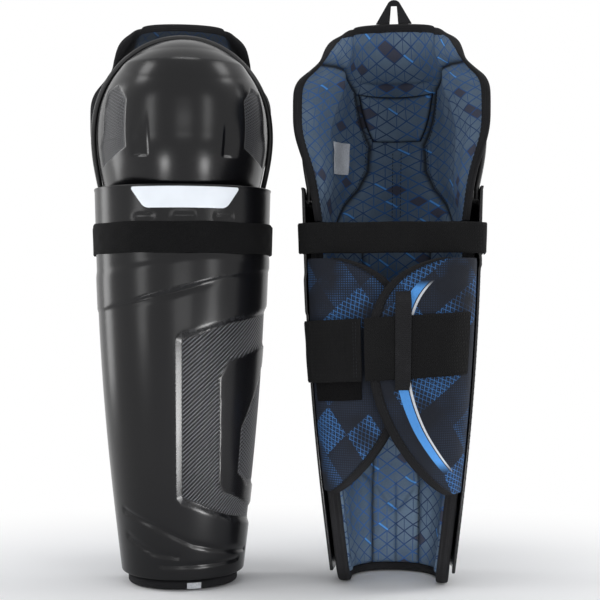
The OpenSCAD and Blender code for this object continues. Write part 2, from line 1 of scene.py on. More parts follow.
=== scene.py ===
"""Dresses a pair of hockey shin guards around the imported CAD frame.

The right guard faces the camera and the left guard, its mirror, shows its lined back. Every piece is
modelled once in the right guard's own millimetres, laid on the same skins as the CAD solids, and then
stood in the row frame on both sides.
"""
from __future__ import annotations

import logging
import math
from dataclasses import dataclass, field
from enum import Enum
from typing import Sequence

import bpy
import numpy as np
from mathutils import Matrix, Vector

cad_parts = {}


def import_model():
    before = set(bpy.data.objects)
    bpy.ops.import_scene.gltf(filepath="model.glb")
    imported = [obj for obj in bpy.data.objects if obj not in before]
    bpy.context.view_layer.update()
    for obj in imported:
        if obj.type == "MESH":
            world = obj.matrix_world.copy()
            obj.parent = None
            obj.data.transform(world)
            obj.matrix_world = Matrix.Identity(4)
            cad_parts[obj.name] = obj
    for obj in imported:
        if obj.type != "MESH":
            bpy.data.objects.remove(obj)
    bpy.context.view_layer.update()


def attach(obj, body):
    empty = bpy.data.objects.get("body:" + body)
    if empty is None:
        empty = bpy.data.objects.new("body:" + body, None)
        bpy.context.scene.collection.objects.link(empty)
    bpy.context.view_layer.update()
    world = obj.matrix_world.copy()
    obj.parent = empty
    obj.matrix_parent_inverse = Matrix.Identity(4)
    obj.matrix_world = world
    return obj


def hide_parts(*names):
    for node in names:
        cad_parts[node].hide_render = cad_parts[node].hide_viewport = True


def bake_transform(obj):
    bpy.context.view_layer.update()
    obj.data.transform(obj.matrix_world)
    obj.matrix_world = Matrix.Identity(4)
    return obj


LOG = logging.getLogger("shin_guards")
MM = 0.001
# Half girth of the shin in mm, by which the patterns of its pieces are measured.
HALF_GIRTH = 133.7
Array = np.ndarray
Span = tuple[float, float, int]
Flat = tuple[float, float]
Point = tuple[float, float, float]
Outline = tuple[Flat, ...]
Curve = tuple[tuple[float, ...], tuple[float, ...]]
Colour = tuple[int, int, int]
Inputs = dict[str | int, object]
Obj = bpy.types.Object
Socket = bpy.types.NodeSocket
Sockets = dict[str, Socket]
Tree = bpy.types.NodeTree
Material = bpy.types.Material


class Side(Enum):
    """Which leg a guard is for."""

    RIGHT = "right"
    LEFT = "left"


class Held(Enum):
    """How a flat piece of webbing lies."""

    STRETCHED = "stretched"
    LAID = "laid"


Twins = dict[Side, Obj]


def mix(low: Array | float, high: Array | float, share: Array | float) -> Array | float:
    """Value at a share of the way from low to high."""
    return low + (high - low) * share


def ease(low: float, high: float, value: Array) -> Array:
    """Smooth step from 0 at low to 1 at high."""
    share = np.clip((np.asarray(value, float) - low) / (high - low), 0.0, 1.0)
    return share * share * (3.0 - 2.0 * share)


def bump(value: Array, centre: float, width: float) -> Array:
    """Bell of height 1 around a centre."""
    return np.exp(-(((np.asarray(value, float) - centre) / width) ** 2))


def smooth_line(value: Array, knots: Sequence[float], levels: Sequence[float]) -> Array:
    """Smooth curve through knots without overshoot at the ends.

    Args:
        value: Where the curve is read.
        knots: Rising places of the knots.
        levels: Curve value at each knot.

    Returns:
        The curve's values, as a cubic with averaged slopes.
    """
    x, y = np.asarray(knots, float), np.asarray(levels, float)
    rise = np.diff(y) / np.diff(x)
    slope = np.zeros_like(y)
    same = rise[:-1] * rise[1:] > 0
    slope[1:-1] = np.where(same, 2 * rise[:-1] * rise[1:] / np.where(same, rise[:-1] + rise[1:], 1), 0)
    slope[0], slope[-1] = rise[0], rise[-1]
    value = np.clip(np.asarray(value, float), x[0], x[-1])
    i = np.clip(np.searchsorted(x, value, side="right") - 1, 0, len(x) - 2)
    h = x[i + 1] - x[i]
    t = (value - x[i]) / h
    return (
        (2 * t**3 - 3 * t**2 + 1) * y[i]
        + (t**3 - 2 * t**2 + t) * h * slope[i]
        + (3 * t**2 - 2 * t**3) * y[i + 1]
        + (t**3 - t**2) * h * slope[i + 1]
    )


def line_distance(x: Array, y: Array, line: Sequence[Flat]) -> Array:
    """Distance from each point to a bent line.

    Args:
        x: First coordinate of the points.
        y: Second coordinate of the points.
        line: Corners of the line.

    Returns:
        Distance of each point to the nearest stretch.
    """
    best = np.full(np.shape(x), 1e9)
    for (x0, y0), (x1, y1) in zip(line[:-1], line[1:]):
        dx, dy = x1 - x0, y1 - y0
        t = np.clip(((x - x0) * dx + (y - y0) * dy) / (dx * dx + dy * dy), 0, 1)
        best = np.minimum(best, np.hypot(x - x0 - t * dx, y - y0 - t * dy))
    return best


def inside_depth(x: Array, y: Array, outline: Sequence[Flat]) -> Array:
    """Signed depth of each point inside a closed outline, negative outside.

    Args:
        x: First coordinate of the points.
        y: Second coordinate of the points.
        outline: Corners of the outline in order.

    Returns:
        Distance to the outline, positive inside.
    """
    ring = list(outline) + [outline[0]]
    inside = np.zeros(np.shape(x), bool)
    for (x0, y0), (x1, y1) in zip(ring[:-1], ring[1:]):
        crosses = (y0 > y) != (y1 > y)
        at = (x1 - x0) * (y - y0) / np.where(y1 == y0, 1e-9, y1 - y0) + x0
        inside ^= crosses & (x < at)
    return np.where(inside, 1.0, -1.0) * line_distance(x, y, ring)


def unit(rows: Array) -> Array:
    """Rows scaled to length 1."""
    return rows / np.maximum(np.linalg.norm(rows, axis=-1, keepdims=True), 1e-9)


def run_along(points: Array) -> Array:
    """Distance of each point from the first one, along their line."""
    return np.concatenate([[0], np.cumsum(np.linalg.norm(np.diff(points, axis=0), axis=1))])


def smoothed(rows: Array, passes: int) -> Array:
    """Directions along a line, evened out between its ends.

    Args:
        rows: Direction at each point.
        passes: How often each is averaged with its neighbours.

    Returns:
        The smoothed directions.
    """
    rows = rows.copy()
    for _ in range(passes):
        rows[1:-1] = unit((rows[:-2] + rows[1:-1] + rows[2:]) / 3)
    return rows


def spread(*spans: Span) -> Array:
    """Places of spans that follow each other, with the shared ends once."""
    return np.concatenate([*[np.linspace(*span)[:-1] for span in spans], [float(spans[-1][1])]])


def ripple(x: Array, y: Array, seed: int, pitch: float) -> Array:
    """Soft uneven waves, the same on every run.

    Args:
        x: First coordinate in mm.
        y: Second coordinate in mm.
        seed: Which set of waves.
        pitch: Usual distance between crests in mm.

    Returns:
        Heights of about -1 to 1.
    """
    rng = np.random.default_rng(seed)
    total = np.zeros(np.shape(x))
    for _ in range(7):
        turn, size, phase = rng.uniform(0, math.tau), rng.uniform(0.7, 1.7), rng.uniform(0, math.tau)
        total += np.sin(math.tau * (x * math.cos(turn) + y * math.sin(turn)) / (pitch * size) + phase)
    return total / 3.2


@dataclass(frozen=True)
class Placement:
    """Where the two guards stand, in mm and degrees."""

    pitch: float = 177.0
    yaw: float = 7.0
    shift: float = 4.8

    def matrix(self, side: Side) -> Matrix:
        """Matrix from a guard's own mm to the row frame in metres.

        Args:
            side: Which guard.

        Returns:
            The matrix.
        """
        sign = -1 if side is Side.RIGHT else 1
        stand = Matrix.Translation((MM * (self.shift + sign * self.pitch / 2), 0, 0))
        flip = Matrix.Diagonal((1, 1 if side is Side.RIGHT else -1, 1, 1))
        return stand @ flip @ Matrix.Rotation(math.radians(self.yaw), 4, "Z") @ Matrix.Scale(MM, 4)

    def point(self, side: Side, spot: Point) -> Point:
        """One point in the row frame, in metres."""
        return tuple(self.matrix(side) @ Vector(spot))


@dataclass(frozen=True)
class ShinForm:
    """Skin of the shin: half an ellipse in front and a straight wall on each side."""

    top: float = 326.0
    top_w: float = 147.0
    bottom_w: float = 99.0
    top_d: float = 64.0
    bottom_d: float = 47.0
    bulge: float = 5.0
    wall_top: float = 38.0
    wall_bottom: float = 30.0

    def share(self, z: Array) -> Array:
        """Share of the shell's height."""
        return np.clip(np.asarray(z, float) / self.top, 0, 1)

    def half_w(self, z: Array) -> Array:
        """Half the width at a height."""
        s = self.share(z)
        return mix(self.bottom_w, self.top_w, s) / 2 + self.bulge * np.sin(math.pi * s)

    def front_d(self, z: Array) -> Array:
        """Reach of the front ahead of the widest line."""
        s = self.share(z)
        return mix(self.bottom_d, self.top_d, s) + self.bulge * np.sin(math.pi * s)

    def wall(self, z: Array) -> Array:
        """Length of the side wall at a height."""
        return mix(self.wall_bottom, self.wall_top, self.share(z))

    @property
    def arc(self) -> float:
        """Girth from the front line to the widest line at half height."""
        return float(1.57 * (self.half_w(self.top / 2) + self.front_d(self.top / 2)) / 2)

    @property
    def girth(self) -> float:
        """Girth from the front line to the shell's rear edge at half height."""
        return float(self.arc + self.wall(self.top / 2))

    def skin(self, u: Array, z: Array, o: Array) -> Array:
        """Point on the skin.

        Args:
            u: Share of the half girth, negative on the inner side.
            z: Height.
            o: Outward offset.

        Returns:
            Points as rows of x, y, z.
        """
        split = self.arc / self.girth
        a, s = np.abs(u), np.where(np.asarray(u) < 0, -1.0, 1.0)
        turn = np.minimum(a / split, 1) * math.pi / 2
        back = np.maximum(a - split, 0) / (1 - split)
        x = s * (self.half_w(z) + o) * np.sin(turn)
        y = np.where(back > 0, self.wall(z) * back, -(self.front_d(z) + o) * np.cos(turn))
        return np.stack([x, y, np.broadcast_to(z, np.shape(x))], axis=-1)


@dataclass(frozen=True)
class CapForm:
    """Skin of the knee cap: a dome above its centre and a tapering bowl below it."""

    shin: ShinForm = field(default_factory=ShinForm)
    rise: float = 46.0
    dome_h: float = 76.0
    width: float = 144.0
    tuck_w: float = 131.0
    depth: float = 88.0
    rim_y: float = 10.0
    rim_lean: float = 18.0
    tuck: float = 10.0
    shell_t: float = 2.6
    tuck_gap: float = 0.9

    @property
    def z(self) -> float:
        """Height of the cap's centre."""
        return self.shin.top + self.rise

    @property
    def low(self) -> float:
        """Height of the tucked lower edge."""
        return self.shin.top - self.tuck

    def rim(self, z: Array) -> Array:
        """Setback of the rim plane at a height."""
        return self.rim_y - math.tan(math.radians(self.rim_lean)) * (np.asarray(z) - self.z)

    def skin(self, a: Array, b: Array, o: Array) -> Array:
        """Point at turns across and up, -1 to 1, with an outward offset and the dome eased into the bowl."""
        reach = 0.16 * bump(np.asarray(b, float), 0, 0.4)
        return np.mean([self.half(a, b + reach * k, o) for k in np.linspace(-1, 1, 9)], axis=0)

    def half(self, a: Array, b: Array, o: Array) -> Array:
        """Point on the dome where b is above 0, or on the bowl where it is below.

        Args:
            a: Turn across, -1 to 1.
            b: Turn upwards, -1 to 1.
            o: Outward offset.

        Returns:
            Points as rows of x, y, z.
        """
        a, b = np.broadcast_arrays(np.asarray(a, float), np.asarray(b, float))
        quarter = math.pi / 2
        across, up = np.sin(quarter * a), np.sin(quarter * np.maximum(b, 0))
        z_dome = self.z + (self.dome_h + o) * up * np.sqrt(1 - across**2 / 2)
        z_bowl = mix(self.z, self.low, -np.minimum(b, 0))
        z = np.where(b >= 0, z_dome, z_bowl)
        bowl = np.cos(quarter * np.clip((self.z - z_bowl) / (self.rise + 1), 0, 1))
        front = self.shin.front_d(self.shin.top) - self.shell_t - self.tuck_gap
        bowl_d = self.rim(z) + mix(front, self.depth - self.rim_y, bowl) + o
        x = np.where(
            b >= 0,
            (self.width / 2 + o) * across * np.sqrt(1 - up**2 / 2),
            (mix(self.tuck_w, self.width, bowl) / 2 + o) * across,
        )
        reach = np.where(b >= 0, (self.depth + o) * np.cos(quarter * np.maximum(b, 0)), bowl_d)
        return np.stack([x, self.rim(z) - reach * np.cos(quarter * a), z], axis=-1)


@dataclass(frozen=True)
class LiningForm:
    """Skin of the knee liner, from the seat in the shin shell up to the thigh lobe."""

    cap: CapForm = field(default_factory=CapForm)
    inset: float = 11.3
    wing_reach: float = 4.5
    stations: tuple[float, ...] = (0, 0.2, 0.45, 0.7, 0.84, 0.92, 1)
    turn: float = 0.62

    def lines(self, v: Array) -> dict[str, Array]:
        """Guide lines at a share of the liner's height.

        Args:
            v: Share of the height.

        Returns:
            Coordinates of the middle, turn and edge lines.
        """
        cap, shin = self.cap, self.cap.shin
        front, side = cap.depth - cap.rim_y - self.inset, cap.width / 2 - self.inset
        tuck = cap.tuck_w / 2 - self.inset
        seat_side, wing = shin.half_w(shin.top) - 12, cap.width / 2 + self.wing_reach
        top, seat = cap.z + cap.dome_h + 11, shin.top - 28
        mid_dome, turn_dome, edge_dome = (
            [cap.z + cap.dome_h * k for k in shares]
            for shares in ((0.6, 0.83, 0.97), (0.56, 0.78, 0.93), (0.44, 0.64, 0.8))
        )
        guides = {
            "mid_z": (seat, cap.z - 42, cap.z, *mid_dome, top),
            "mid_y": (-front + 19, -front + 9, -front, -front + 12, -25, -5, -3),
            "turn_x": (tuck + 2.5, tuck + 4.3, side, 0.8 * side, 0.7 * side, 0.65 * side, 0.6 * side),
            "turn_y": (12, 14, 14, 9, 6, 4, 1),
            "turn_z": (seat, cap.z - 42, cap.z, *turn_dome, top - 5),
            "edge_x": (seat_side, seat_side + 4.5, wing, wing - 1, wing - 9, wing - 22, wing - 28),
            "edge_y": (32, 40, 45, 43, 34, 22, 4),
            "edge_z": (seat, cap.z - 40, cap.z + 2, *edge_dome, top - 13),
        }
        reach = np.minimum(0.06, np.minimum(v, 1 - v))
        near = [v + reach * k for k in np.linspace(-1, 1, 5)]
        return {
            name: np.mean([smooth_line(w, self.stations, line) for w in near], axis=0)
            for name, line in guides.items()
        }

    @staticmethod
    def rounded(u: Array, v: Array) -> tuple[Array, Array]:
        """Draws the two upper corners in to a round.

        Args:
            u: Share across, -1 to 1.
            v: Share of the height.

        Returns:
            Both shares, drawn in.
        """
        p, q = np.maximum(np.abs(u) - 0.75, 0) / 0.25, np.maximum(v - 0.88, 0) / 0.12
        a = np.where(p > 0, 0.75 + 0.25 * p * np.sqrt(1 - q * q / 2), np.abs(u))
        return np.where(u < 0, -a, a), np.where(q > 0, 0.88 + 0.12 * q * np.sqrt(1 - p * p / 2), v)

    def face(self, u: Array, v: Array) -> Array:
        """Point on the liner's outer face.

        Args:
            u: Share across, -1 to 1.
            v: Share of the height.

        Returns:
            Points as rows of x, y, z.
        """
        g = self.lines(v)
        a, s = np.abs(u), np.where(u < 0, -1.0, 1.0)
        t = np.minimum(a / self.turn, 1)
        w = np.maximum(a - self.turn, 0) / (1 - self.turn)
        quarter = math.pi / 2
        x = mix(g["turn_x"] * np.sin(quarter * t), g["edge_x"], w)
        y = mix(g["turn_y"] - (g["turn_y"] - g["mid_y"]) * np.cos(quarter * t), g["edge_y"], w)
        z = mix(mix(g["mid_z"], g["turn_z"], t * t), g["edge_z"], w)
        return np.stack([s * x, y, z], axis=-1)

    def skin(self, u: Array, v: Array, o: Array) -> Array:
        """Point off the liner's outer face, along its smoothed normal.

        Args:
            u: Share across, -1 to 1.
            v: Share of the height.
            o: Outward offset.

        Returns:
            Points as rows of x, y, z.
        """
        u, v, o = np.broadcast_arrays(*(np.asarray(value, float) for value in (u, v, o)))
        u, v = self.rounded(u, v)
        low, high = np.clip(u - 0.05, -1, 1), np.clip(u + 0.05, -1, 1)
        across = self.face(high, v) - self.face(low, v)
        along = self.face(u, np.clip(v + 0.04, 0, 1)) - self.face(u, np.clip(v - 0.04, 0, 1))
        return self.face(u, v) + unit(np.cross(across, along)) * o[..., None]


@dataclass(frozen=True)
class CalfForm:
    """Skin of the calf wrap: half an ellipse behind the shell's edges."""

    shin: ShinForm = field(default_factory=ShinForm)
    inset: float = 6.7
    hinge_gap: float = 0.4
    bulge: float = 22.0
    low: float = 76.0
    high: float = 269.5
    lap: float = 10.0
    waist: float = 0.58

    def half(self, z: Array) -> Array:
        """Half width of the wrap at a height."""
        return self.shin.half_w(z) - self.inset

    def skin(self, turn: Array, z: Array, side: Array, back: Array) -> Array:
        """Point on the wrap.

        Args:
            turn: Angle from the middle of the back, in degrees.
            z: Height.
            side: Offset to the sides.
            back: Offset to the back.

        Returns:
            Points as rows of x, y, z.
        """
        t = np.radians(turn)
        x = (self.half(z) + side) * np.sin(t)
        y = self.shin.wall(z) + self.hinge_gap + (self.bulge + back) * np.cos(t)
        return np.stack(np.broadcast_arrays(x, y, np.asarray(z, float)), axis=-1)

    def turn_at(self, x: Array, z: Array) -> Array:
        """Angle whose point lies at a side distance x."""
        return np.degrees(np.arcsin(np.clip(x / self.half(z), -1, 1)))

    def reach(self, t: Array) -> Array:
        """How far a flap reaches.

        Args:
            t: Share of the flap's height.

        Returns:
            Share of its full reach.
        """
        up = np.clip((t - self.waist) / (1 - self.waist), 0, 1)
        down = np.clip((self.waist - t) / self.waist, 0, 1)
        return np.where(t > self.waist, np.sqrt(1 - up**3), (1 - down**2) ** 0.8)

    def free_turn(self, t: Array) -> Array:
        """Where a flap's free edge lies.

        Args:
            t: Share of the flap's height.

        Returns:
            Angle from the middle of the back, in degrees.
        """
        z = mix(self.low, self.high, t)
        w = self.half(z)
        return self.turn_at(w - (w + self.lap) * self.reach(t), z)

    def flap(self, q: Array, t: Array, hand: float, side: Array, back: Array) -> Array:
        """Point at shares of a flap's reach and height, with hand 1 for the outer flap, -1 for the inner."""
        return self.skin(hand * mix(90.0, self.free_turn(t), q), mix(self.low, self.high, t), side, back)


@dataclass(frozen=True)
class Forms:
    """The skins that every piece is laid on."""

    shin: ShinForm = field(default_factory=ShinForm)
    cap: CapForm = field(default_factory=CapForm)
    lining: LiningForm = field(default_factory=LiningForm)
    calf: CalfForm = field(default_factory=CalfForm)


class Bench:
    """Shapes flat stock into finished meshes in a guard's own millimetres."""

    @staticmethod
    def clear() -> None:
        """Nothing is selected and no mode is open."""
        if bpy.context.object and bpy.context.object.mode != "OBJECT":
            bpy.ops.object.mode_set(mode="OBJECT")
        bpy.ops.object.select_all(action="DESELECT")

    @staticmethod
    def pick(*objects: Obj) -> None:
        """Selects objects and nothing else.

        Args:
            *objects: The objects, the active one first.
        """
        Bench.clear()
        for obj in objects:
            obj.select_set(True)
        bpy.context.view_layer.objects.active = objects[0]

    @staticmethod
    def corners(obj: Obj) -> Array:
        """Reads the vertices of a mesh.

        Args:
            obj: The piece.

        Returns:
            Their places as rows.
        """
        spots = np.empty(len(obj.data.vertices) * 3)
        obj.data.vertices.foreach_get("co", spots)
        return spots.reshape(-1, 3)

    @staticmethod
    def lay(obj: Obj, spots: Array) -> None:
        """Moves the vertices of a mesh."""
        obj.data.vertices.foreach_set("co", np.ascontiguousarray(spots, dtype=np.float32).ravel())
        obj.data.update()

    @staticmethod
    def mask(obj: Obj, name: str, values: Array) -> None:
        """Stores a value for each vertex that a material can read."""
        layer = obj.data.attributes.new(name, "FLOAT", "POINT")
        layer.data.foreach_set("value", np.asarray(values, np.float32))

    @staticmethod
    def plan(obj: Obj, across: Array, along: Array) -> None:
        """Writes the pattern distances, in units of 100 mm, as the piece's UV map.

        Args:
            obj: The piece.
            across: Distance across the pattern for each vertex, in mm.
            along: Distance along the pattern for each vertex, in mm.
        """
        while obj.data.uv_layers:
            obj.data.uv_layers.remove(obj.data.uv_layers[0])
        layer = obj.data.uv_layers.new(name="Cut")
        index = np.empty(len(obj.data.loops), np.int32)
        obj.data.loops.foreach_get("vertex_index", index)
        spots = np.stack([across, along], axis=-1)[index] / 100.0
        layer.data.foreach_set("uv", spots.astype(np.float32).ravel())

    @staticmethod
    def finish(obj: Obj, bevel: float = 0.0, angle: float = 40.0) -> None:
        """Rounds the edges and smooths a piece, then applies it.

        Args:
            obj: The piece.
            bevel: Width of the rounded edges, none if 0.
            angle: Edges sharper than this stay sharp and are bevelled.
        """
        Bench.pick(obj)
        if bevel:
            rounding = obj.modifiers.new("Rounding", "BEVEL")
            rounding.width, rounding.segments = bevel, 2
            rounding.limit_method, rounding.angle_limit = "ANGLE", math.radians(angle)
            bpy.ops.object.modifier_apply(modifier=rounding.name)
        bpy.ops.object.shade_smooth_by_angle(angle=math.radians(angle))
        obj.select_set(False)

    @staticmethod
    def slab(name: str, across: Array | Span, along: Array | Span) -> tuple[Obj, Array, Array, Array]:
        """Cuts a grid and extrudes it to a slab that is ready to be moulded.

        Args:
            name: Name of the new object.
            across: Places of the columns, or the first and last place and their number.
            along: Places of the rows, given in the same way.

        Returns:
            The object, and for each vertex its column, its row and its face, 0 inside and 1 outside.
        """
        Bench.clear()
        across, along = (np.linspace(*row) if isinstance(row, tuple) else row for row in (across, along))
        bpy.ops.mesh.primitive_grid_add(x_subdivisions=len(across) - 1, y_subdivisions=len(along) - 1, size=2)
        obj = bpy.context.object
        obj.name = obj.data.name = name
        bpy.ops.object.mode_set(mode="EDIT")
        bpy.ops.mesh.select_all(action="SELECT")
        bpy.ops.mesh.extrude_region_move(TRANSFORM_OT_translate={"value": (0, 0, 1)})
        bpy.ops.object.mode_set(mode="OBJECT")
        flat = Bench.corners(obj)
        u = np.interp((flat[:, 0] + 1) / 2 * (len(across) - 1), np.arange(len(across)), across)
        v = np.interp((flat[:, 1] + 1) / 2 * (len(along) - 1), np.arange(len(along)), along)
        face = (flat[:, 2] > 0.5).astype(float)
        return obj, u, v, face

    @staticmethod
    def mould(obj: Obj, spots: Array) -> None:
        """Lays a slab on its places and turns its faces outward."""
        Bench.lay(obj, spots)
        Bench.outward(obj)

    @staticmethod
    def outward(obj: Obj, merge: float = 0.0, fill: bool = False) -> None:
        """Closes a mesh and turns its faces outward.

        Args:
            obj: The piece.
            merge: Distance under which vertices are joined, none if 0.
            fill: Whether open ends are closed.
        """
        Bench.pick(obj)
        bpy.ops.object.mode_set(mode="EDIT")
        bpy.ops.mesh.select_all(action="SELECT")
        if merge:
            bpy.ops.mesh.remove_doubles(threshold=merge)
        if fill:
            bpy.ops.mesh.select_all(action="DESELECT")
            bpy.ops.mesh.select_non_manifold()
            bpy.ops.mesh.edge_face_add()
            bpy.ops.mesh.select_all(action="SELECT")
        bpy.ops.mesh.normals_make_consistent(inside=False)
        bpy.ops.object.mode_set(mode="OBJECT")

    @staticmethod
    def rail(name: str, path: Array, across: Array, facing: Array, profile: Array) -> Obj:
        """Runs a closed profile along a path, as an edge binding or a bead.

        Args:
            name: Name of the new object.
            path: Points of the path.
            across: Direction of the profile's first coordinate at each point.
            facing: Direction of the profile's second coordinate at each point.
            profile: Corners of the profile, in mm.

        Returns:
            The object.
        """
        Bench.clear()
        around, n = len(profile), len(path)
        bpy.ops.mesh.primitive_grid_add(x_subdivisions=around, y_subdivisions=n - 1, size=2)
        obj = bpy.context.object
        obj.name = obj.data.name = name
        flat = Bench.corners(obj)
        i = np.rint((flat[:, 0] + 1) / 2 * around).astype(int) % around
        j = np.rint((flat[:, 1] + 1) / 2 * (n - 1)).astype(int)
        shape = np.asarray(profile, float)
        Bench.lay(obj, path[j] + across[j] * shape[i, :1] + facing[j] * shape[i, 1:])
        Bench.plan(obj, run_along(shape)[i], run_along(path)[j])
        Bench.outward(obj, merge=0.01, fill=True)
        return obj

    @staticmethod
    def stitches(name: str, lines: Sequence[Array], dash: float, pitch: float, thread: float) -> Obj:
        """Sews dashes of thread along lines.

        Args:
            name: Name of the new object.
            lines: Points of each seam, close together.
            dash: Length of a stitch.
            pitch: Distance from stitch to stitch.
            thread: Thickness of the thread.

        Returns:
            The object.
        """
        Bench.clear()
        curve = bpy.data.curves.new(name, "CURVE")
        curve.dimensions, curve.bevel_depth = "3D", thread / 2
        curve.bevel_resolution, curve.use_fill_caps = 0, True
        for line in lines:
            run = run_along(line)
            for start in np.arange(pitch / 2, run[-1] - dash, pitch):
                at = start + dash * np.array([0, 0.5, 1])
                spots = np.stack([np.interp(at, run, line[:, k]) for k in range(3)], axis=-1)
                stitch = curve.splines.new("POLY")
                stitch.points.add(2)
                for point, spot, size in zip(stitch.points, spots, (0.75, 1.15, 0.75)):
                    point.co, point.radius = (*spot, 1), size
        obj = bpy.data.objects.new(name, curve)
        bpy.context.scene.collection.objects.link(obj)
        Bench.pick(obj)
        bpy.ops.object.convert(target="MESH")
        bpy.ops.object.shade_smooth()
        return bpy.context.object

    @staticmethod
    def join(main: Obj, *others: Obj) -> Obj:
        """Makes one object of several.

        Args:
            main: The object that stays.
            *others: The objects that go into it.

        Returns:
            The object that stays.
        """
        Bench.pick(main, *others)
        bpy.ops.object.join()
        return main


def edge_drop(share_u: Array, share_v: Array, wide: float, tall: float, radius: float) -> Array:
    """Share of full thickness that falls off roundly near the edges of a panel.

    Args:
        share_u: Share across, 0 to 1.
        share_v: Share along, 0 to 1.
        wide: Width of the panel in mm.
        tall: Height of the panel in mm.
        radius: Distance over which the edge rounds off.

    Returns:
        Values of 0 at the edge up to 1.
    """
    near = np.minimum(np.minimum(share_u, 1 - share_u) * wide, np.minimum(share_v, 1 - share_v) * tall)
    left = 1 - np.clip(near / radius, 0, 1)
    return np.sqrt(np.maximum(1 - left**2, 0))


def oval(wide: float, thick: float, n: int, power: float = 2.6) -> Array:
    """Corners of a rounded profile that starts at its middle and reaches out by its width.

    Args:
        wide: Width, from 0 outward.
        thick: Thickness.
        n: Number of corners.
        power: 2 for an ellipse, more for squarer.

    Returns:
        The corners as rows.
    """
    turn = np.linspace(0, math.tau, n, endpoint=False)
    c, s = np.cos(turn), np.sin(turn)
    x = np.sign(c) * np.abs(c) ** (2 / power)
    y = np.sign(s) * np.abs(s) ** (2 / power)
    return np.stack([wide / 2 + x * wide / 2, y * thick / 2], axis=-1)


@dataclass(frozen=True)
class Role:
    """What a piece stands for, named without the side."""

    node: str
    body: str
    slot: str


@dataclass(frozen=True)
class Pair:
    """Stands each finished piece on both sides, with two heights for a piece that spans the shin and the
    knee; such a piece is baked into the row frame.
    """

    place: Placement = field(default_factory=Placement)
    bend_low: float = 300.0
    bend_high: float = 352.0

    def stand(self, obj: Obj, role: Role, bends: bool = False, sides: Sequence[Side] = tuple(Side)) -> Twins:
        """Copies a piece to the guards and ties it to the frame.

        Args:
            obj: The finished piece in a guard's own mm.
            role: What it stands for.
            bends: Whether it spans the shin and the knee, and is then baked into the row frame instead of
                riding on one body.
            sides: The guards that get it.

        Returns:
            The placed piece of each side.
        """
        twins = {}
        for side in sides:
            twin = obj.copy()
            twin.data = obj.data.copy()
            bpy.context.scene.collection.objects.link(twin)
            twin.name = twin.data.name = f"{obj.name}_{side.value}"
            twin.data.transform(self.place.matrix(side))
            if side is Side.LEFT:
                twin.data.flip_normals()
            twin.data.update()
            if role.node:
                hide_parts(f"{side.value}_{role.node}")
            if bends:
                low, high = (self.place.point(side, (0, 0, z)) for z in (self.bend_low, self.bend_high))
                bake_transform(twin)
            else:
                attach(twin, f"{side.value}_{role.body}")
            twins[side] = twin
        LOG.info("%s: %d faces a side", obj.name, len(obj.data.polygons))
        bpy.data.objects.remove(obj)
        return twins


@dataclass
class Group:
    """What the groups of pieces share: the skins, the places of the guards and the finishes."""

    forms: Forms
    pair: Pair
    kit: Finishes

    def sew(self, name: str, lines: Sequence[Array], dash: float, pitch: float, thick: float) -> Obj:
        """Makes the dressed thread of a piece's seams.

        Args:
            name: Name of the thread.
            lines: Points of each seam.
            dash: Length of a stitch.
            pitch: Distance from stitch to stitch.
            thick: Thickness of the thread.

        Returns:
            The thread.
        """
        thread = Bench.stitches(name, lines, dash, pitch, thick)
        self.kit.dress(thread, "thread")
        return thread

    def stand(
        self, obj: Obj, look: str, role: Role, angle: float = 60, bevel: float = 0.0,
        thread: Obj | None = None, bends: bool = False, sides: Sequence[Side] = tuple(Side),
    ) -> Twins:
        """Finishes a piece, dresses it, joins its thread to it and stands it on the guards.

        Args:
            obj: The piece.
            look: Name of its finish.
            role: What it stands for.
            angle: Edges sharper than this stay sharp.
            bevel: Width of the rounded edges.
            thread: Thread that is sewn into it.
            bends: Whether it spans the shin and the knee and is baked into the row frame.
            sides: The guards that get it.

        Returns:
            The placed piece of each side.
        """
        Bench.finish(obj, bevel, angle)
        self.kit.dress(obj, look)
        whole = Bench.join(obj, thread) if thread else obj
        return self.pair.stand(whole, role, bends, sides)


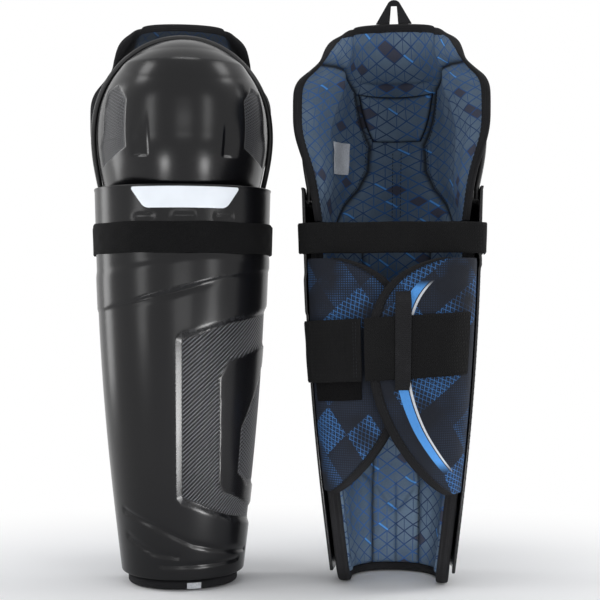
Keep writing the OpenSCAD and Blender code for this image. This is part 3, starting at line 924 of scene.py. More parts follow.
@dataclass
class ShinGroup(Group):
    """Fixed pieces of a guard: shell, padding, hem, plate and the front band of the upper strap.

    Sizes are in mm, the values that end in side are shares of the half girth, and the moulded lines are
    corners of girth and height.
    """

    shell_t: float = 2.6
    panel_depth: float = 2.2
    ledge_h: float = 1.2
    groove: float = 1.2
    foam_t: float = 5.0
    liner_t: float = 5.0
    gap: float = 0.3
    foam_side: float = 0.825
    foam_low: float = 22.0
    foam_high: float = 282.0
    hem_h: float = 7.0
    liner_g: float = 124.3
    liner_side: float = 0.93
    liner_top: float = 294.0
    side_seam: float = 99.7
    edge_seam: float = 127.5
    corner: float = 14.0
    strap_z: float = 284.0
    strap_h: float = 25.0
    strap_t: float = 1.7
    strap_side: float = 0.985
    plate_w: float = 80.0
    plate_h: float = 17.0
    plate_top: float = 324.0
    panel: Outline = (
        (-7.5, 204), (-3, 208), (36, 220), (110, 232), (121, 233), (121, 42), (44, 55), (-4, 71), (-7.5, 75),
    )
    island: Outline = (
        (26, 172), (35, 186), (72, 195), (90, 197), (88, 182), (53, 130), (53, 94),
        (70, 83), (122, 78), (122, 58), (70, 66), (34, 79), (30, 86),
    )
    wedge: Outline = ((90, 184), (122, 199), (122, 80), (71, 85), (55, 95), (55, 130))
    diagonal: Outline = ((-64, 64), (-30, 54), (-10, 45.5), (8, 38), (34, 32.5), (80, 27))
    branch: Outline = ((-62, 43), (-31, 31), (-6, 28))
    dents: Point = (-30, -1, 28)
    dent_z: float = 300.6
    panel_wall: float = 5.3
    ledge: Curve = ((-140, -75, -40, 25, 70, 140), (222, 226, 233, 252, 258, 261))
    crease: Curve = ((-140, -65, -22, 0, 140), (250, 254, 261, 266, 267))

    @property
    def liner_out(self) -> float:
        """Offset of the liner's outer face from the shin skin."""
        return -(self.shell_t + self.panel_depth + self.foam_t + 2 * self.gap)

    def rows(self, v: Array, g: Array) -> Array:
        """Heights of rows that run along the moulded lines.

        Args:
            v: Share of the rows.
            g: Girth from the front line.

        Returns:
            Height of each point.
        """
        places, heights = np.transpose(self.diagonal)
        lines = [
            9 + 3 * (g / HALF_GIRTH) ** 2,
            np.interp(g, (-140, *places, 140), (74, *heights, 27)),
            np.interp(g, (-140, -7.5, -4, 44, 121, 140), (92, 75, 71, 55, 42, 41)),
            np.interp(g, (-140, -7.5, -3, 36, 110, 140), (203, 204, 208, 220, 232, 234)),
            np.interp(g, *self.ledge),
            np.interp(g, *self.crease),
            np.full(np.shape(g), self.forms.shin.top),
        ]
        knots = np.array([0, 0.1, 0.18, 0.62, 0.70, 0.77, 1])
        i = np.clip(np.searchsorted(knots, v, side="right") - 1, 0, len(knots) - 2)
        t = (v - knots[i]) / (knots[i + 1] - knots[i])
        level = np.stack(lines)
        pick = np.arange(len(v))
        return mix(level[i, pick], level[i + 1, pick], t)

    def relief(self, g: Array, z: Array) -> tuple[Array, dict[str, Array]]:
        """Moulded height of the shell's face.

        Args:
            g: Girth from the front line.
            z: Height.

        Returns:
            The offset, and the masks of ribbed and grained areas and of scuffed edges that also carry a
            painted highlight.
        """
        deep = inside_depth(g, z, self.panel)
        panel = np.clip(deep / self.panel_wall, 0, 1)
        island = np.clip(inside_depth(g, z, self.island) / 1.8 + 0.3, 0, 1)
        wedge = ease(0, 2.0, inside_depth(g, z, self.wedge))
        ledge, crease = np.interp(g, *self.ledge), np.interp(g, *self.crease)
        step = ease(-1.3, 1.3, z - ledge) * (1 - ease(-1, 7, z - crease)) * (0.5 + 0.5 * bump(g, -5, 40))
        cuts = bump(line_distance(g, z, self.diagonal), 0, 1.9)
        cuts = cuts + bump(line_distance(g, z, self.branch), 0, 1.6)
        under = bump(z - ledge + 2.4, 0, 2.0) * bump(g, -8, 30)
        flex = bump(z - (21 + 3 * (g / HALF_GIRTH) ** 2), 0, 1.5) * ease(-30, -22, g) * (1 - ease(62, 68, g))
        sewn = bump(np.abs(g), self.edge_seam, 1.1) * ease(14, 20, z)
        lip = ease(323.6, 325, z)
        dents = sum(1 - ease(6.0, 9.0, np.abs(g - middle)) for middle in self.dents)
        dents = dents * bump(z - self.dent_z, 0, 2.6)
        height = -self.panel_depth * panel + 1.5 * island * (deep > 3) + 0.2 * wedge * (1 - island)
        height += 1.3 * self.ledge_h * step - 1.5 * under - self.groove * (np.clip(cuts, 0, 1) + flex)
        height += 0.5 * lip - 0.5 * sewn - 1.1 * dents
        masks = {
            "ribbed": ease(0.9, 1.0, panel) * (1 - island) * (1 - wedge) * (1 - 0.5 * ease(50, 90, g)),
            "grained": wedge * (1 - ease(0, 1, island)),
            # Scuffs and painted highlight: the edge of the panel's wall and the ledge's step are lightened.
            "scuff_and_highlight": np.clip(bump(deep, 1.5, 1.8) + bump(z - ledge, 0.6, 1.2) * step, 0, 1),
        }
        return height, masks

    def shell(self) -> None:
        """Moulds the shin shell with its panel, ledge and grooves."""
        shin = self.forms.shin
        split = shin.arc / shin.girth
        turn = spread(
            (-1, -split, 14), (-split, -0.06, 44), (-0.06, -0.015, 14),
            (-0.015, 0.7, 94), (0.7, split, 8), (split, 1, 22),
        )
        obj, u, v, face = Bench.slab("moulded_shin", turn, (0, 1, 211))
        z = self.rows(v, u * HALF_GIRTH)
        height, masks = self.relief(u * HALF_GIRTH, z)
        Bench.mould(obj, shin.skin(u, z, height - self.shell_t * (1 - face)))
        for name, values in masks.items():
            Bench.mask(obj, name, values * face)
        Bench.plan(obj, u * HALF_GIRTH, z)
        heights = np.linspace(20, 300, 240)
        seams = []
        for g in (-self.edge_seam, self.edge_seam):
            height, _ = self.relief(np.full(240, g), heights)
            seams.append(shin.skin(np.full(240, g / HALF_GIRTH), heights, height + 0.25))
        thread = self.sew("shin_edge_thread", seams, 3.4, 5.0, 0.9)
        self.stand(obj, "shell", Role("shin_shell", "shin", "shell"), angle=50, bevel=0.7, thread=thread)

    def foam(self) -> None:
        """Cuts the foam layer behind the shell."""
        shin, side = self.forms.shin, self.foam_side
        middle = -(self.shell_t + self.panel_depth + self.gap + self.foam_t / 2)
        obj, u, v, face = Bench.slab("shin_padding", (-side, side, 61), (0, 1, 61))
        drop = edge_drop((u + side) / (2 * side), v, 220, 258, 2.2)
        thick = self.foam_t * (0.35 + 0.65 * drop)
        Bench.mould(obj, shin.skin(u, mix(self.foam_low, self.foam_high, v), middle + (face - 0.5) * thick))
        Bench.plan(obj, u * HALF_GIRTH, mix(self.foam_low, self.foam_high, v))
        self.stand(obj, "foam", Role("shin_foam", "shin", "foam"))

    def foot(self, u: Array) -> Array:
        """Height of the liner's lower edge, with its round corners."""
        past = np.clip(np.abs(u) * HALF_GIRTH - (self.liner_g - self.corner), 0, self.corner)
        return self.hem_h + self.gap + self.corner - np.sqrt(self.corner**2 - past**2)

    @staticmethod
    def spine(z: Array) -> Array:
        """Girth of the sewn line beside the liner's middle channel, at a height."""
        return 22 + 0.09 * np.abs(z - 150)

    def quilt(self, u: Array, z: Array) -> Array:
        """Thickness of the quilted shin liner.

        Args:
            u: Share of the half girth.
            z: Height.

        Returns:
            Thickness in mm.
        """
        g, a, side = u * HALF_GIRTH, np.abs(u * HALF_GIRTH), self.liner_side
        spine = self.spine(z)
        seams = bump(a - spine, 0, 3.2) + bump(a, self.side_seam, 3.0)
        vee, bar = [(0, 52), (spine.mean(), 78), (98, 112)], [(24, 205), (98, 232)]
        seams = seams + bump(line_distance(a, z, vee), 0, 3.2) * (a > 3)
        seams = seams + bump(line_distance(a, z, bar), 0, 3.2)
        channel = bump(a, 0, 1.4) * (1 - ease(60, 90, z))
        pad = self.liner_t + 1.8 * ease(0, 14, np.abs(a - spine)) * ease(0, 14, np.abs(a - self.side_seam))
        soft = 0.3 * ripple(g, z, 5, 26) + 0.12 * ripple(g, z, 6, 9)
        edge = edge_drop((u + side) / (2 * side), (z - self.foot(u)) / 287, 249, 287, 4.0)
        return ((pad + soft) * (1 - 0.55 * np.clip(seams + 0.6 * channel, 0, 1))) * (0.55 + 0.45 * edge)

    def liner(self) -> None:
        """Quilts the liner of the shin."""
        shin = self.forms.shin
        across = spread((0, 0.82, 57), (0.82, self.liner_side, 12))
        across = np.concatenate([-across[:0:-1], across])
        obj, u, v, face = Bench.slab("shin_quilt", across, (0, 1, 141))
        z = mix(self.foot(u), self.liner_top, v)
        Bench.mould(obj, shin.skin(u, z, self.liner_out - (1 - face) * self.quilt(u, z)))
        Bench.mask(obj, "seam", bump(np.abs(u * HALF_GIRTH) - self.spine(z), 0, 1.6))
        Bench.plan(obj, u * HALF_GIRTH * (shin.half_w(z) - 10) / (shin.half_w(shin.top / 2) - 2), z)
        self.stand(obj, "liner", Role("shin_liner", "shin", "liner"))

    def hem(self) -> None:
        """Binds the edge that the guard stands on and the liner's two rear edges."""
        shin, side, start = self.forms.shin, self.liner_side, (self.liner_g - self.corner) / HALF_GIRTH
        outer, inner = -(self.shell_t + self.panel_depth + self.gap), self.liner_out - self.liner_t
        foot = self.hem_h + self.gap
        rise, turn = np.linspace(286, foot + self.corner, 60), np.radians(np.linspace(90, 0, 14)[1:-1])
        bend = start + self.corner * np.sin(turn) / HALF_GIRTH
        flat = np.linspace(start, -start, 130)
        u = np.concatenate([np.full(60, side), bend, flat, -bend[::-1], np.full(60, -side)])
        round_z = foot + self.corner * (1 - np.cos(turn))
        z = np.concatenate([rise, round_z, np.full(130, foot), round_z[::-1], rise[::-1]])
        upright = np.full(60, math.pi / 2)
        lean = np.concatenate([upright, turn, np.zeros(130), turn[::-1], upright])
        o = np.full(len(u), (outer + inner) / 2)
        leaving = np.stack([0 * u, np.sin(lean), -np.cos(lean)], axis=-1)
        facing = unit(shin.skin(u, z, 0 * u + 1) - shin.skin(u, z, 0 * u - 1))
        obj = Bench.rail("hem_tape", shin.skin(u, z, o), leaving, facing, oval(foot, outer - inner, 22, 3.6))
        self.stand(obj, "tape", Role("hem", "shin", "tape"), angle=70)

    def tag(self) -> None:
        """Sews the small blank tag under the front edge."""
        shin, base = self.forms.shin, -(self.shell_t + self.panel_depth) + self.gap
        obj, u, v, face = Bench.slab("hem_label", (0.02, 0.14, 21), (1, self.hem_h - 1, 9))
        Bench.mould(obj, shin.skin(u, v, base + 0.05 + 0.7 * face + 0.1 * ripple(u * HALF_GIRTH, v, 8, 9)))
        Bench.plan(obj, u * HALF_GIRTH, v)
        self.stand(obj, "label", Role("hem_tag", "shin", "label"), angle=50, bevel=0.25)

    def plate(self) -> None:
        """Cuts the blank name plate with rounded corners."""
        shin, half, round_off = self.forms.shin, self.plate_w / 2 / HALF_GIRTH, 3.0
        rows = 0.5 - 0.5 * np.cos(np.linspace(0, math.pi, 25))
        obj, t, v, face = Bench.slab("name_board", (-1, 1, 61), rows)
        near = np.minimum(np.minimum(v, 1 - v) * self.plate_h, round_off)
        inset = (round_off - np.sqrt(round_off**2 - (round_off - near) ** 2)) / HALF_GIRTH
        u = t * (half * mix(0.72, 1.0, v) - inset)
        crown = 0.15 * edge_drop((t + 1) / 2, v, self.plate_w, self.plate_h, 3)
        z = self.plate_top - self.plate_h * (1 - v)
        Bench.mould(obj, shin.skin(u, z, self.gap + (1.05 + crown) * face))
        Bench.plan(obj, t * self.plate_w / 2, v * self.plate_h)
        self.stand(obj, "plate", Role("name_plate", "shin", "plate"), angle=50, bevel=0.4)

    def front_band(self) -> None:
        """Lays the fuzzy front band of the upper strap round the shell."""
        shin, side = self.forms.shin, self.strap_side
        obj, u, v, face = Bench.slab("front_band", (-side, side, 181), (0, 1, 17))
        g = u * HALF_GIRTH
        z = self.strap_z + self.strap_h * (v - 0.5) + 0.5 * ripple(g, 0 * g, 11, 60)
        soft = 0.25 * ripple(g, z, 12, 14)
        edge = edge_drop(0.5 + 0 * u, v, 100, self.strap_h, 1.2)
        Bench.mould(obj, shin.skin(u, z, self.gap + face * (self.strap_t * (0.55 + 0.45 * edge) + soft)))
        Bench.plan(obj, g, v * self.strap_h)
        middle = shin.skin(np.linspace(-side, side, 200), np.full(200, self.strap_z), np.full(200, 1.0))
        twins = self.stand(obj, "pile", Role("strap_front", "shin", "loop_webbing"))

    def build(self) -> None:
        """Makes every piece of the group."""
        for make in (self.shell, self.foam, self.liner, self.hem, self.tag, self.plate, self.front_band):
            make()


@dataclass
class KneeGroup(Group):
    """Pieces at the knee: cap, rim bead, padding, lining, pad, loop and label; the lining and its tape are
    baked into the row frame and the rest ride on the knee.

    Sizes are in mm. The foam and the pockets are placed in turns of the cap, and the pad, the label and the
    seam in shares of the liner.
    """

    shell_t: float = 2.6
    foam_t: float = 5.0
    liner_t: float = 5.0
    pad_t: float = 4.0
    trim_w: float = 4.0
    trim_t: float = 5.0
    tape_w: float = 7.0
    tape_t: float = 5.5
    loop_w: float = 30.0
    cap_wide: float = 113.0
    cap_tall: float = 110.0
    pocket_d: float = 1.5
    foam_side: float = 0.62
    foam_low: float = -0.35
    foam_high: float = 0.42
    wide: float = 112.0
    tall: float = 176.0
    seat_z: float = 298.0
    label_u: float = -0.47
    label_v: float = 0.345
    pad_low: float = 0.46
    pad_rise: float = 0.23
    pad_foot: float = 0.16
    pad_head: float = 0.33
    pocket: Outline = (
        (0.47, 0.20), (0.59, 0.35), (0.74, 0.36), (0.72, -0.02),
        (0.80, -0.24), (0.80, -0.50), (0.64, -0.42), (0.47, -0.29),
    )
    seam: Outline = (
        (0.46, 0.0), (0.37, 0.10), (0.25, 0.20), (0.185, 0.30), (0.17, 0.44),
        (0.345, 0.70), (0.50, 0.775), (0.74, 0.84), (1.0, 0.885),
    )

    def cap_relief(self, a: Array, b: Array) -> tuple[Array, Array, Array]:
        """Moulded height of the cap's face.

        Args:
            a: Turn across.
            b: Turn upwards.

        Returns:
            The offset, the mask of the grained pockets and the mask of scuffed edges that also carry a
            painted highlight.
        """
        w = np.abs(a)
        down = (1 - ease(-0.34, 0.12, b)) * np.clip((b + 0.45) / 0.046, 0, 1)
        scoop = ease(0.268, 0.290, w) * (1 - ease(0.32, 0.43, w)) * down
        ridge = (b - 0.455 - 0.45 * a * a) * self.cap_tall
        crest = np.clip(1 - np.abs(ridge) / 17, 0, 1) * (1 - ease(0.5, 0.75, w))
        outline = [(x * self.cap_wide, y * 100) for x, y in self.pocket]
        edge = inside_depth(w * self.cap_wide, b * 100, outline)
        pocket = np.clip(edge / 1.6 + 0.3, 0, 1)
        roll = bump(w, 0.935, 0.025) * (1 - ease(0.85, 1.0, b)) + bump(b, 0.925, 0.03)
        shelf = bump((b + 0.14) * 100, 0, 1.2) * ease(0.55, 0.6, w) * pocket
        height = -2.4 * scoop + 1.7 * crest - self.pocket_d * pocket + 0.5 * shelf - 0.7 * np.clip(roll, 0, 1)
        # Scuffs and painted highlight along the crest and round the pockets' edges.
        scuff_and_highlight = np.clip(bump(ridge, 1.2, 1.6) * (1 - ease(0.4, 0.6, w)) + bump(edge, -0.4, 0.8), 0, 1)
        return height, pocket, scuff_and_highlight

    def cap(self) -> None:
        """Moulds the knee cap."""
        form = self.forms.cap
        spans = ((-1, -0.47, 36), (-0.46, -0.38, 14), (-0.366, 1, 101))
        rise = np.concatenate([np.linspace(*span) for span in spans])
        obj, a, b, face = Bench.slab("moulded_knee", (-1, 1, 161), rise)
        height, pocket, scuff_and_highlight = self.cap_relief(a, b)
        Bench.mould(obj, form.skin(a, b, height * face - self.shell_t * (1 - face)))
        Bench.mask(obj, "grained", pocket * face)
        Bench.mask(obj, "scuff_and_highlight", scuff_and_highlight * face)
        Bench.mask(obj, "ribbed", 0 * a)
        Bench.plan(obj, a * self.cap_wide, b * self.cap_tall)
        self.stand(obj, "shell", Role("knee_cap", "knee", "shell"), angle=50, bevel=0.6)

    def trim(self) -> None:
        """Rolls the bead round the cap's rim."""
        form = self.forms.cap
        b, a = np.linspace(-1, 1, 90), np.linspace(-0.985, 0.985, 90)
        sides = ((-1 + 0 * b, b), (a, 1 + 0 * a), (1 + 0 * b, b[::-1]))
        rim = np.concatenate([form.skin(across, up, 0 * up) for across, up in sides])
        lift = np.maximum(0, rim[:, 2] - form.z) * form.width / 2 / form.dome_h
        away = unit(np.stack([rim[:, 0], 0 * lift, lift], axis=-1))
        ahead = np.tile((0.0, -1.0, 0.0), (len(rim), 1))
        profile = oval(self.trim_w + 0.7, self.trim_t, 18, 2.4) + (0.5, 0)
        obj = Bench.rail("knee_rim_bead", rim, away, ahead, profile)
        self.stand(obj, "trim", Role("knee_trim", "knee", "trim"), angle=70)

    def foam(self) -> None:
        """Cuts the foam in the cap."""
        form, middle = self.forms.cap, -(self.shell_t + self.pocket_d + self.foam_t / 2)
        side, low, high = self.foam_side, self.foam_low, self.foam_high
        obj, a, b, face = Bench.slab("knee_padding", (-side, side, 49), (low, high, 41))
        drop = edge_drop((a + side) / (2 * side), (b - low) / (high - low), 120, 80, 2.4)
        thick = self.foam_t * (0.35 + 0.65 * drop)
        Bench.mould(obj, form.skin(a, b, middle + (face - 0.5) * thick))
        Bench.plan(obj, a * self.cap_wide, b * self.cap_tall)
        self.stand(obj, "foam", Role("knee_foam", "knee", "foam"))

    def seam_distance(self, u: Array, v: Array) -> Array:
        """Distance to the sewn line between the middle panels and the side pads, in mm."""
        line = [(a * self.wide, b * self.tall) for a, b in self.seam]
        return line_distance(np.abs(u) * self.wide, v * self.tall, line)

    def pad_half(self, v: Array) -> Array:
        """Half the centre pad's width at a share of the liner's height, as a share across."""
        return mix(self.pad_foot, self.pad_head, np.clip((v - self.pad_low) / self.pad_rise, 0, 1))

    def depth(self, u: Array, v: Array) -> Array:
        """Thickness of the quilted knee liner.

        Args:
            u: Share across.
            v: Share of the height.

        Returns:
            Thickness in mm.
        """
        a = np.abs(u)
        outline = [(p * self.wide, q * self.tall) for p, q in self.seam]
        outline += [(self.wide * 1.3, 0.885 * self.tall), (self.wide * 1.3, -5)]
        side = inside_depth(a * self.wide, v * self.tall, outline)
        far = self.seam_distance(u, v)
        puff = 4.2 * ease(0, 22, side) * (1 - ease(0.80, 1.0, a)) * ease(0.02, 0.2, v)
        tongue = 1.6 * ease(0, 9, far) * (side < 0) * (1 - ease(0.40, 0.45, v)) * ease(0.0, 0.08, v)
        lobe = 1.2 * ease(0, 10, far) * (side < 0) * ease(0.72, 0.8, v) * (1 - ease(0.9, 0.98, v))
        channel = bump(u * self.wide, 0, 1.5) * (1 - ease(0.36, 0.42, v))
        fold = bump(u * self.wide, 0, 40) * bump((v - 0.755) * self.tall, 0, 2.6)
        x, y = u * self.wide, v * self.tall
        soft = 0.28 * ripple(x, y, 21, 24) + 0.12 * ripple(x, y, 22, 9)
        base = self.liner_t + puff + tongue + lobe + soft * (1 - ease(0.9, 1.0, a))
        cut = np.clip(bump(far, 0, 2.6) + 0.5 * channel + 0.6 * fold, 0, 1)
        pad_seat = (a < self.pad_half(v) + 0.02) & (v > 0.44) & (v < 0.71)
        return np.where(pad_seat, np.minimum(base, self.liner_t), base) * (1 - 0.5 * cut)

    def liner(self) -> None:
        """Quilts the knee liner with its wings and thigh lobe."""
        form = self.forms.lining
        obj, u, v, face = Bench.slab("knee_quilt", (-1, 1, 169), (0, 1, 151))
        Bench.mould(obj, form.skin(u, v, -(1 - face) * self.depth(u, v)))
        Bench.mask(obj, "seam", bump(self.seam_distance(u, v), 0, 1.7))
        Bench.mask(obj, "outer", face * (1 - 0.2 * ease(0.84, 0.88, v) * (1 - ease(0.62, 0.72, np.abs(u)))))
        Bench.plan(obj, u * self.wide, v * self.tall + self.seat_z)
        places = np.array(self.seam)
        at = np.linspace(0, len(places) - 2.2, 400)
        across, along = (np.interp(at, np.arange(len(places)), places[:, k]) for k in (0, 1))
        seams = ((np.full(200, 0.028), np.linspace(0.03, 0.41, 200)), (across + 0.03, along))
        runs = []
        for x, y in seams:
            runs += [form.skin(s * x, y, -self.depth(s * x, y) - 0.15) for s in (-1, 1)]
        thread = self.sew("knee_seam_thread", runs, 2.2, 3.4, 0.6)
        twins = self.stand(obj, "liner", Role("knee_liner", "knee", "liner"), thread=thread, bends=True)

    def binding(self) -> None:
        """Binds the edge of the knee liner with black tape."""
        form, n, tuck = self.forms.lining, 110, 1.5
        v, u = np.linspace(0, 1, n), np.linspace(-0.99, 0.99, n)
        us = np.concatenate([-np.ones(n), u, np.ones(n)])
        vs = np.concatenate([v, np.ones(n), v[::-1]])
        back_u = np.concatenate([-0.94 * np.ones(n), u, 0.94 * np.ones(n)])
        back_v = np.concatenate([v, 0.95 * np.ones(n), v[::-1]])
        middle = np.full(3 * n, -self.liner_t / 2)
        path = form.skin(us, vs, middle)
        leaving = unit(path - form.skin(back_u, back_v, middle))
        facing = unit(form.skin(us, vs, middle + 1) - form.skin(us, vs, middle - 1))
        leaving, facing = smoothed(leaving, 40), smoothed(facing, 40)
        profile = oval(self.tape_w + tuck, self.tape_t, 22, 2.8) - (tuck, 0)
        obj = Bench.rail("knee_edge_tape", path, leaving, facing, profile)
        inside = [path + leaving * 0.6 - facing * (self.tape_t / 2 + 0.05)]
        thread = self.sew("knee_tape_thread", inside, 2.4, 3.8, 0.55)
        self.stand(obj, "tape", Role("knee_binding", "knee", "tape"), angle=70, thread=thread, bends=True)

    def pad(self) -> None:
        """Stuffs the raised pad in the middle of the cup."""
        form, foot = self.forms.lining, -(self.liner_t + 0.6)
        rows = (self.pad_low, self.pad_low + self.pad_rise, 51)
        obj, t, v, face = Bench.slab("knee_cushion", (-1, 1, 61), rows)
        u = t * self.pad_half(v)
        drop = edge_drop((t + 1) / 2, (v - self.pad_low) / self.pad_rise, 52, 42, 7)
        crown = self.pad_t * (0.2 + 0.8 * drop) + 0.9 * drop * bump(t, 0, 0.7)
        crown = crown + 0.2 * ripple(u * self.wide, v * self.tall, 31, 16) * drop
        Bench.mould(obj, form.skin(u, v, foot - (1 - face) * crown))
        rim = 1 - edge_drop((t + 1) / 2, (v - self.pad_low) / self.pad_rise, 52, 42, 2.6)
        Bench.mask(obj, "seam", np.clip(rim, 0, 1))
        Bench.plan(obj, u * self.wide, v * self.tall + self.seat_z + 3)
        self.stand(obj, "liner", Role("knee_pad", "knee", "liner"), angle=70)

    def label(self) -> None:
        """Sews the blank size label to the left side pad."""
        form = self.forms.lining
        obj, u, v, face = Bench.slab("size_patch", (-0.57, -0.37, 29), (0.26, 0.43, 37))
        turn_u, turn_v = u + 0.10 * (v - self.label_v), v + 0.05 * (u - self.label_u)
        soft = 0.12 * ripple(u * self.wide, v * self.tall, 41, 14)
        lift = self.depth(turn_u, turn_v) + 0.25 + 0.7 * (1 - face) + soft
        Bench.mould(obj, form.skin(turn_u, turn_v, -lift))
        Bench.plan(obj, (u - self.label_u) * self.wide, (v - self.label_v) * self.tall)
        self.stand(obj, "label", Role("size_label", "knee", "label"), angle=50, bevel=0.2)

    def loop(self, side: Side, fold: float, rise: float) -> None:
        """Folds the webbing pull loop over the thigh lobe.

        Args:
            side: Which guard gets it.
            fold: Degrees it leans back from upright.
            rise: Offset of its front face behind the lobe's middle.
        """
        foot = self.forms.lining.skin(np.array(0.0), np.array(1.0), np.array(-self.liner_t / 2))
        foot = foot + (0, rise, self.tape_w + 0.3)
        half, top, small = self.loop_w / 2, 14.0, 6.0
        lean = math.atan2(top, half) + math.asin(small / math.hypot(top, half))
        arc = np.linspace(math.pi / 2 + lean, math.pi / 2 - lean, 15)
        bow = [(small * math.cos(t), top + small * math.sin(t)) for t in arc]
        outer = np.array([(-half, 0), *bow, (half, 0)])
        inner = np.array([(-3.6, 0), (-3.4, 2.5), (-2.4, top + 1), (2.4, top + 1), (3.4, 2.5), (3.6, 0)])
        c, d = math.cos(math.radians(fold)), math.sin(math.radians(fold))

        def along(line: Array, s: Array) -> Array:
            """Point at a share of a line's length."""
            run = run_along(line)
            return np.stack([np.interp(s * run[-1], run, line[:, k]) for k in (0, 1)], axis=-1)

        obj, w, s, face = Bench.slab("pull_tab", (0, 1, 13), (0, 1, 71))
        flat = mix(along(inner, s), along(outer, s), w[:, None])
        thick = 1.25 * (0.6 + 0.4 * edge_drop(w, 0.5 + 0 * s, 9, 60, 1.4))
        back = (0.5 - face) * 2 * thick
        x, y = flat[:, 0], flat[:, 1]
        Bench.mould(obj, foot + np.stack([x, c * back + d * y, c * y - d * back], axis=-1))
        Bench.plan(obj, w * 9, s * 55)
        self.stand(obj, "webbing", Role("pull_loop", "knee", "webbing"), sides=(side,))

    def build(self) -> None:
        """Makes every piece, with the left guard's loop up and the right guard's folded behind the lobe."""
        for make in (self.cap, self.trim, self.foam, self.liner, self.binding, self.pad, self.label):
            make()
        self.loop(Side.LEFT, 0.0, 0.0)
        self.loop(Side.RIGHT, 165.0, self.tape_t / 2 + 1.8)


@dataclass
class CalfGroup(Group):
    """The two wrap flaps with their tape, the calf strap, its keeper and tab, and the closing patches."""

    flap_t: float = 3.5
    lap: float = 10.0
    tape_w: float = 7.0
    tape_t: float = 5.5
    strap_z: float = 196.0
    strap_h: float = 50.0
    strap_t: float = 1.7
    tilt: float = 4.0
    root: float = 56.0
    tab_reach: float = 68.0
    patch_t: float = 1.2
    soft_gap: float = 0.5
    keeper_x: float = 9.5
    keeper_w: float = 11.0

    @property
    def lap_step(self) -> float:
        """Setback of the outer flap over the inner one."""
        return self.flap_t + 2.6

    @property
    def band_side(self) -> float:
        """Side offset of the band."""
        return self.flap_t + 1.6

    @property
    def band_back(self) -> float:
        """Back offset of the band."""
        return self.lap_step + self.band_side

    @property
    def loop_back(self) -> float:
        """Back offset of the loop patch."""
        return self.flap_t + self.soft_gap

    @property
    def hook_back(self) -> float:
        """Back offset of the hook patch."""
        return self.loop_back + self.patch_t + self.soft_gap

    @property
    def tab_back(self) -> float:
        """Back offset of the tab."""
        return self.hook_back + self.patch_t + self.soft_gap

    @property
    def band_end(self) -> float:
        """Side distance where the band ends."""
        return -(self.lap + self.tape_w + 1)

    def height(self, turn: Array, v: Array) -> Array:
        """Height of the tilted strap at an angle and a share of its width."""
        x = self.forms.calf.half(self.strap_z) * np.sin(np.radians(turn))
        return self.strap_z + x * math.tan(math.radians(self.tilt)) + self.strap_h * (v - 0.5)

    def turns(self, start: float, stop: float, n: int) -> Array:
        """Angles from one side distance to another at the strap's height."""
        ends = self.forms.calf.turn_at(np.array([start, stop]), np.full(2, self.strap_z))
        return np.linspace(*ends, n)

    @staticmethod
    def arc(turn: Array) -> Array:
        """Distance round the back.

        Args:
            turn: Angle from the middle of the back, in degrees.

        Returns:
            Distance from the middle of the back, in mm.
        """
        half_x, half_y, grid = 66, 24, np.radians(np.linspace(0, 90, 181))
        step = np.hypot(half_x * np.cos(grid), half_y * np.sin(grid)) * (grid[1] - grid[0])
        run = np.concatenate([[0], np.cumsum((step[1:] + step[:-1]) / 2)])
        return np.sign(turn) * np.interp(np.radians(np.abs(turn)), grid, run)

    def flap(self, name: str, hand: int, back: float) -> None:
        """Cuts one padded flap.

        Args:
            name: Name of the wrap's side, outer or inner.
            hand: 1 for the outer flap, -1 for the inner one.
            back: Setback of the flap.
        """
        calf = self.forms.calf
        rows = spread((0.015, 0.15, 33), (0.15, 0.85, 61), (0.85, 0.99, 41))
        obj, q, t, face = Bench.slab(f"{name}_wrap", (0, 1, 61), rows)
        z = mix(calf.low, calf.high, t)
        edge = edge_drop(0.5 + 0 * q, (t - 0.01) / 0.985, 60, 180, 5) * np.clip((1 - q) * 16, 0, 1) ** 0.5
        puff = 0.35 * ripple(q * 60, z, 51 + hand, 34) * edge * (1 - ease(0.75, 0.95, 1 - q))
        o = face * (self.flap_t * (0.72 + 0.28 * edge) + puff)
        Bench.mould(obj, calf.flap(q, t, hand, o, back + o))
        free = calf.free_turn(t)
        turn = hand * mix(90.0, free, q)
        Bench.plan(obj, self.arc(turn), z)
        Bench.mask(obj, "inset", np.abs(self.arc(hand * free) - self.arc(turn)))
        Bench.mask(obj, "stripe", (hand > 0) * ease(0.10, 0.16, t) * (1 - ease(0.86, 0.90, t)))
        self.stand(obj, "flap", Role(f"{name}_flap", f"{name}_wrap", "flap"))

    def flap_tape(self, name: str, hand: int, back: float) -> None:
        """Binds the free edge of one flap.

        Args:
            name: Name of the wrap's side, outer or inner.
            hand: 1 for the outer flap, -1 for the inner one.
            back: Setback of the flap.
        """
        calf, thick, tuck = self.forms.calf, self.flap_t, 1.2
        line = spread((0.015, 0.12, 44), (0.12, 0.8, 91), (0.8, 0.99, 70))
        edge, mid = np.ones(len(line)), thick / 2
        path = calf.flap(edge, line, hand, mid, back + mid)
        leaving = smoothed(unit(path - calf.flap(0.94 * edge, line, hand, mid, back + mid)), 10)
        outside = calf.flap(edge, line, hand, thick, back + thick)
        facing = unit(outside - calf.flap(edge, line, hand, 0.0, back))
        profile = oval(self.tape_w + tuck, self.tape_t, 20, 2.8) - (tuck, 0)
        tape = Bench.rail(f"{name}_wrap_tape", path, leaving, facing, profile)
        seam = path + leaving * 0.4 + facing * (self.tape_t / 2 + 0.02)
        thread = self.sew(f"{name}_wrap_thread", [seam], 2.4, 3.8, 0.5)
        self.stand(tape, "tape", Role(f"{name}_binding", f"{name}_wrap", "tape"), angle=70, thread=thread)

    def flaps(self) -> None:
        """Makes both flaps with their tape."""
        for name, hand, back in (("outer", 1, self.lap_step), ("inner", -1, 0.0)):
            self.flap(name, hand, back)
            self.flap_tape(name, hand, back)

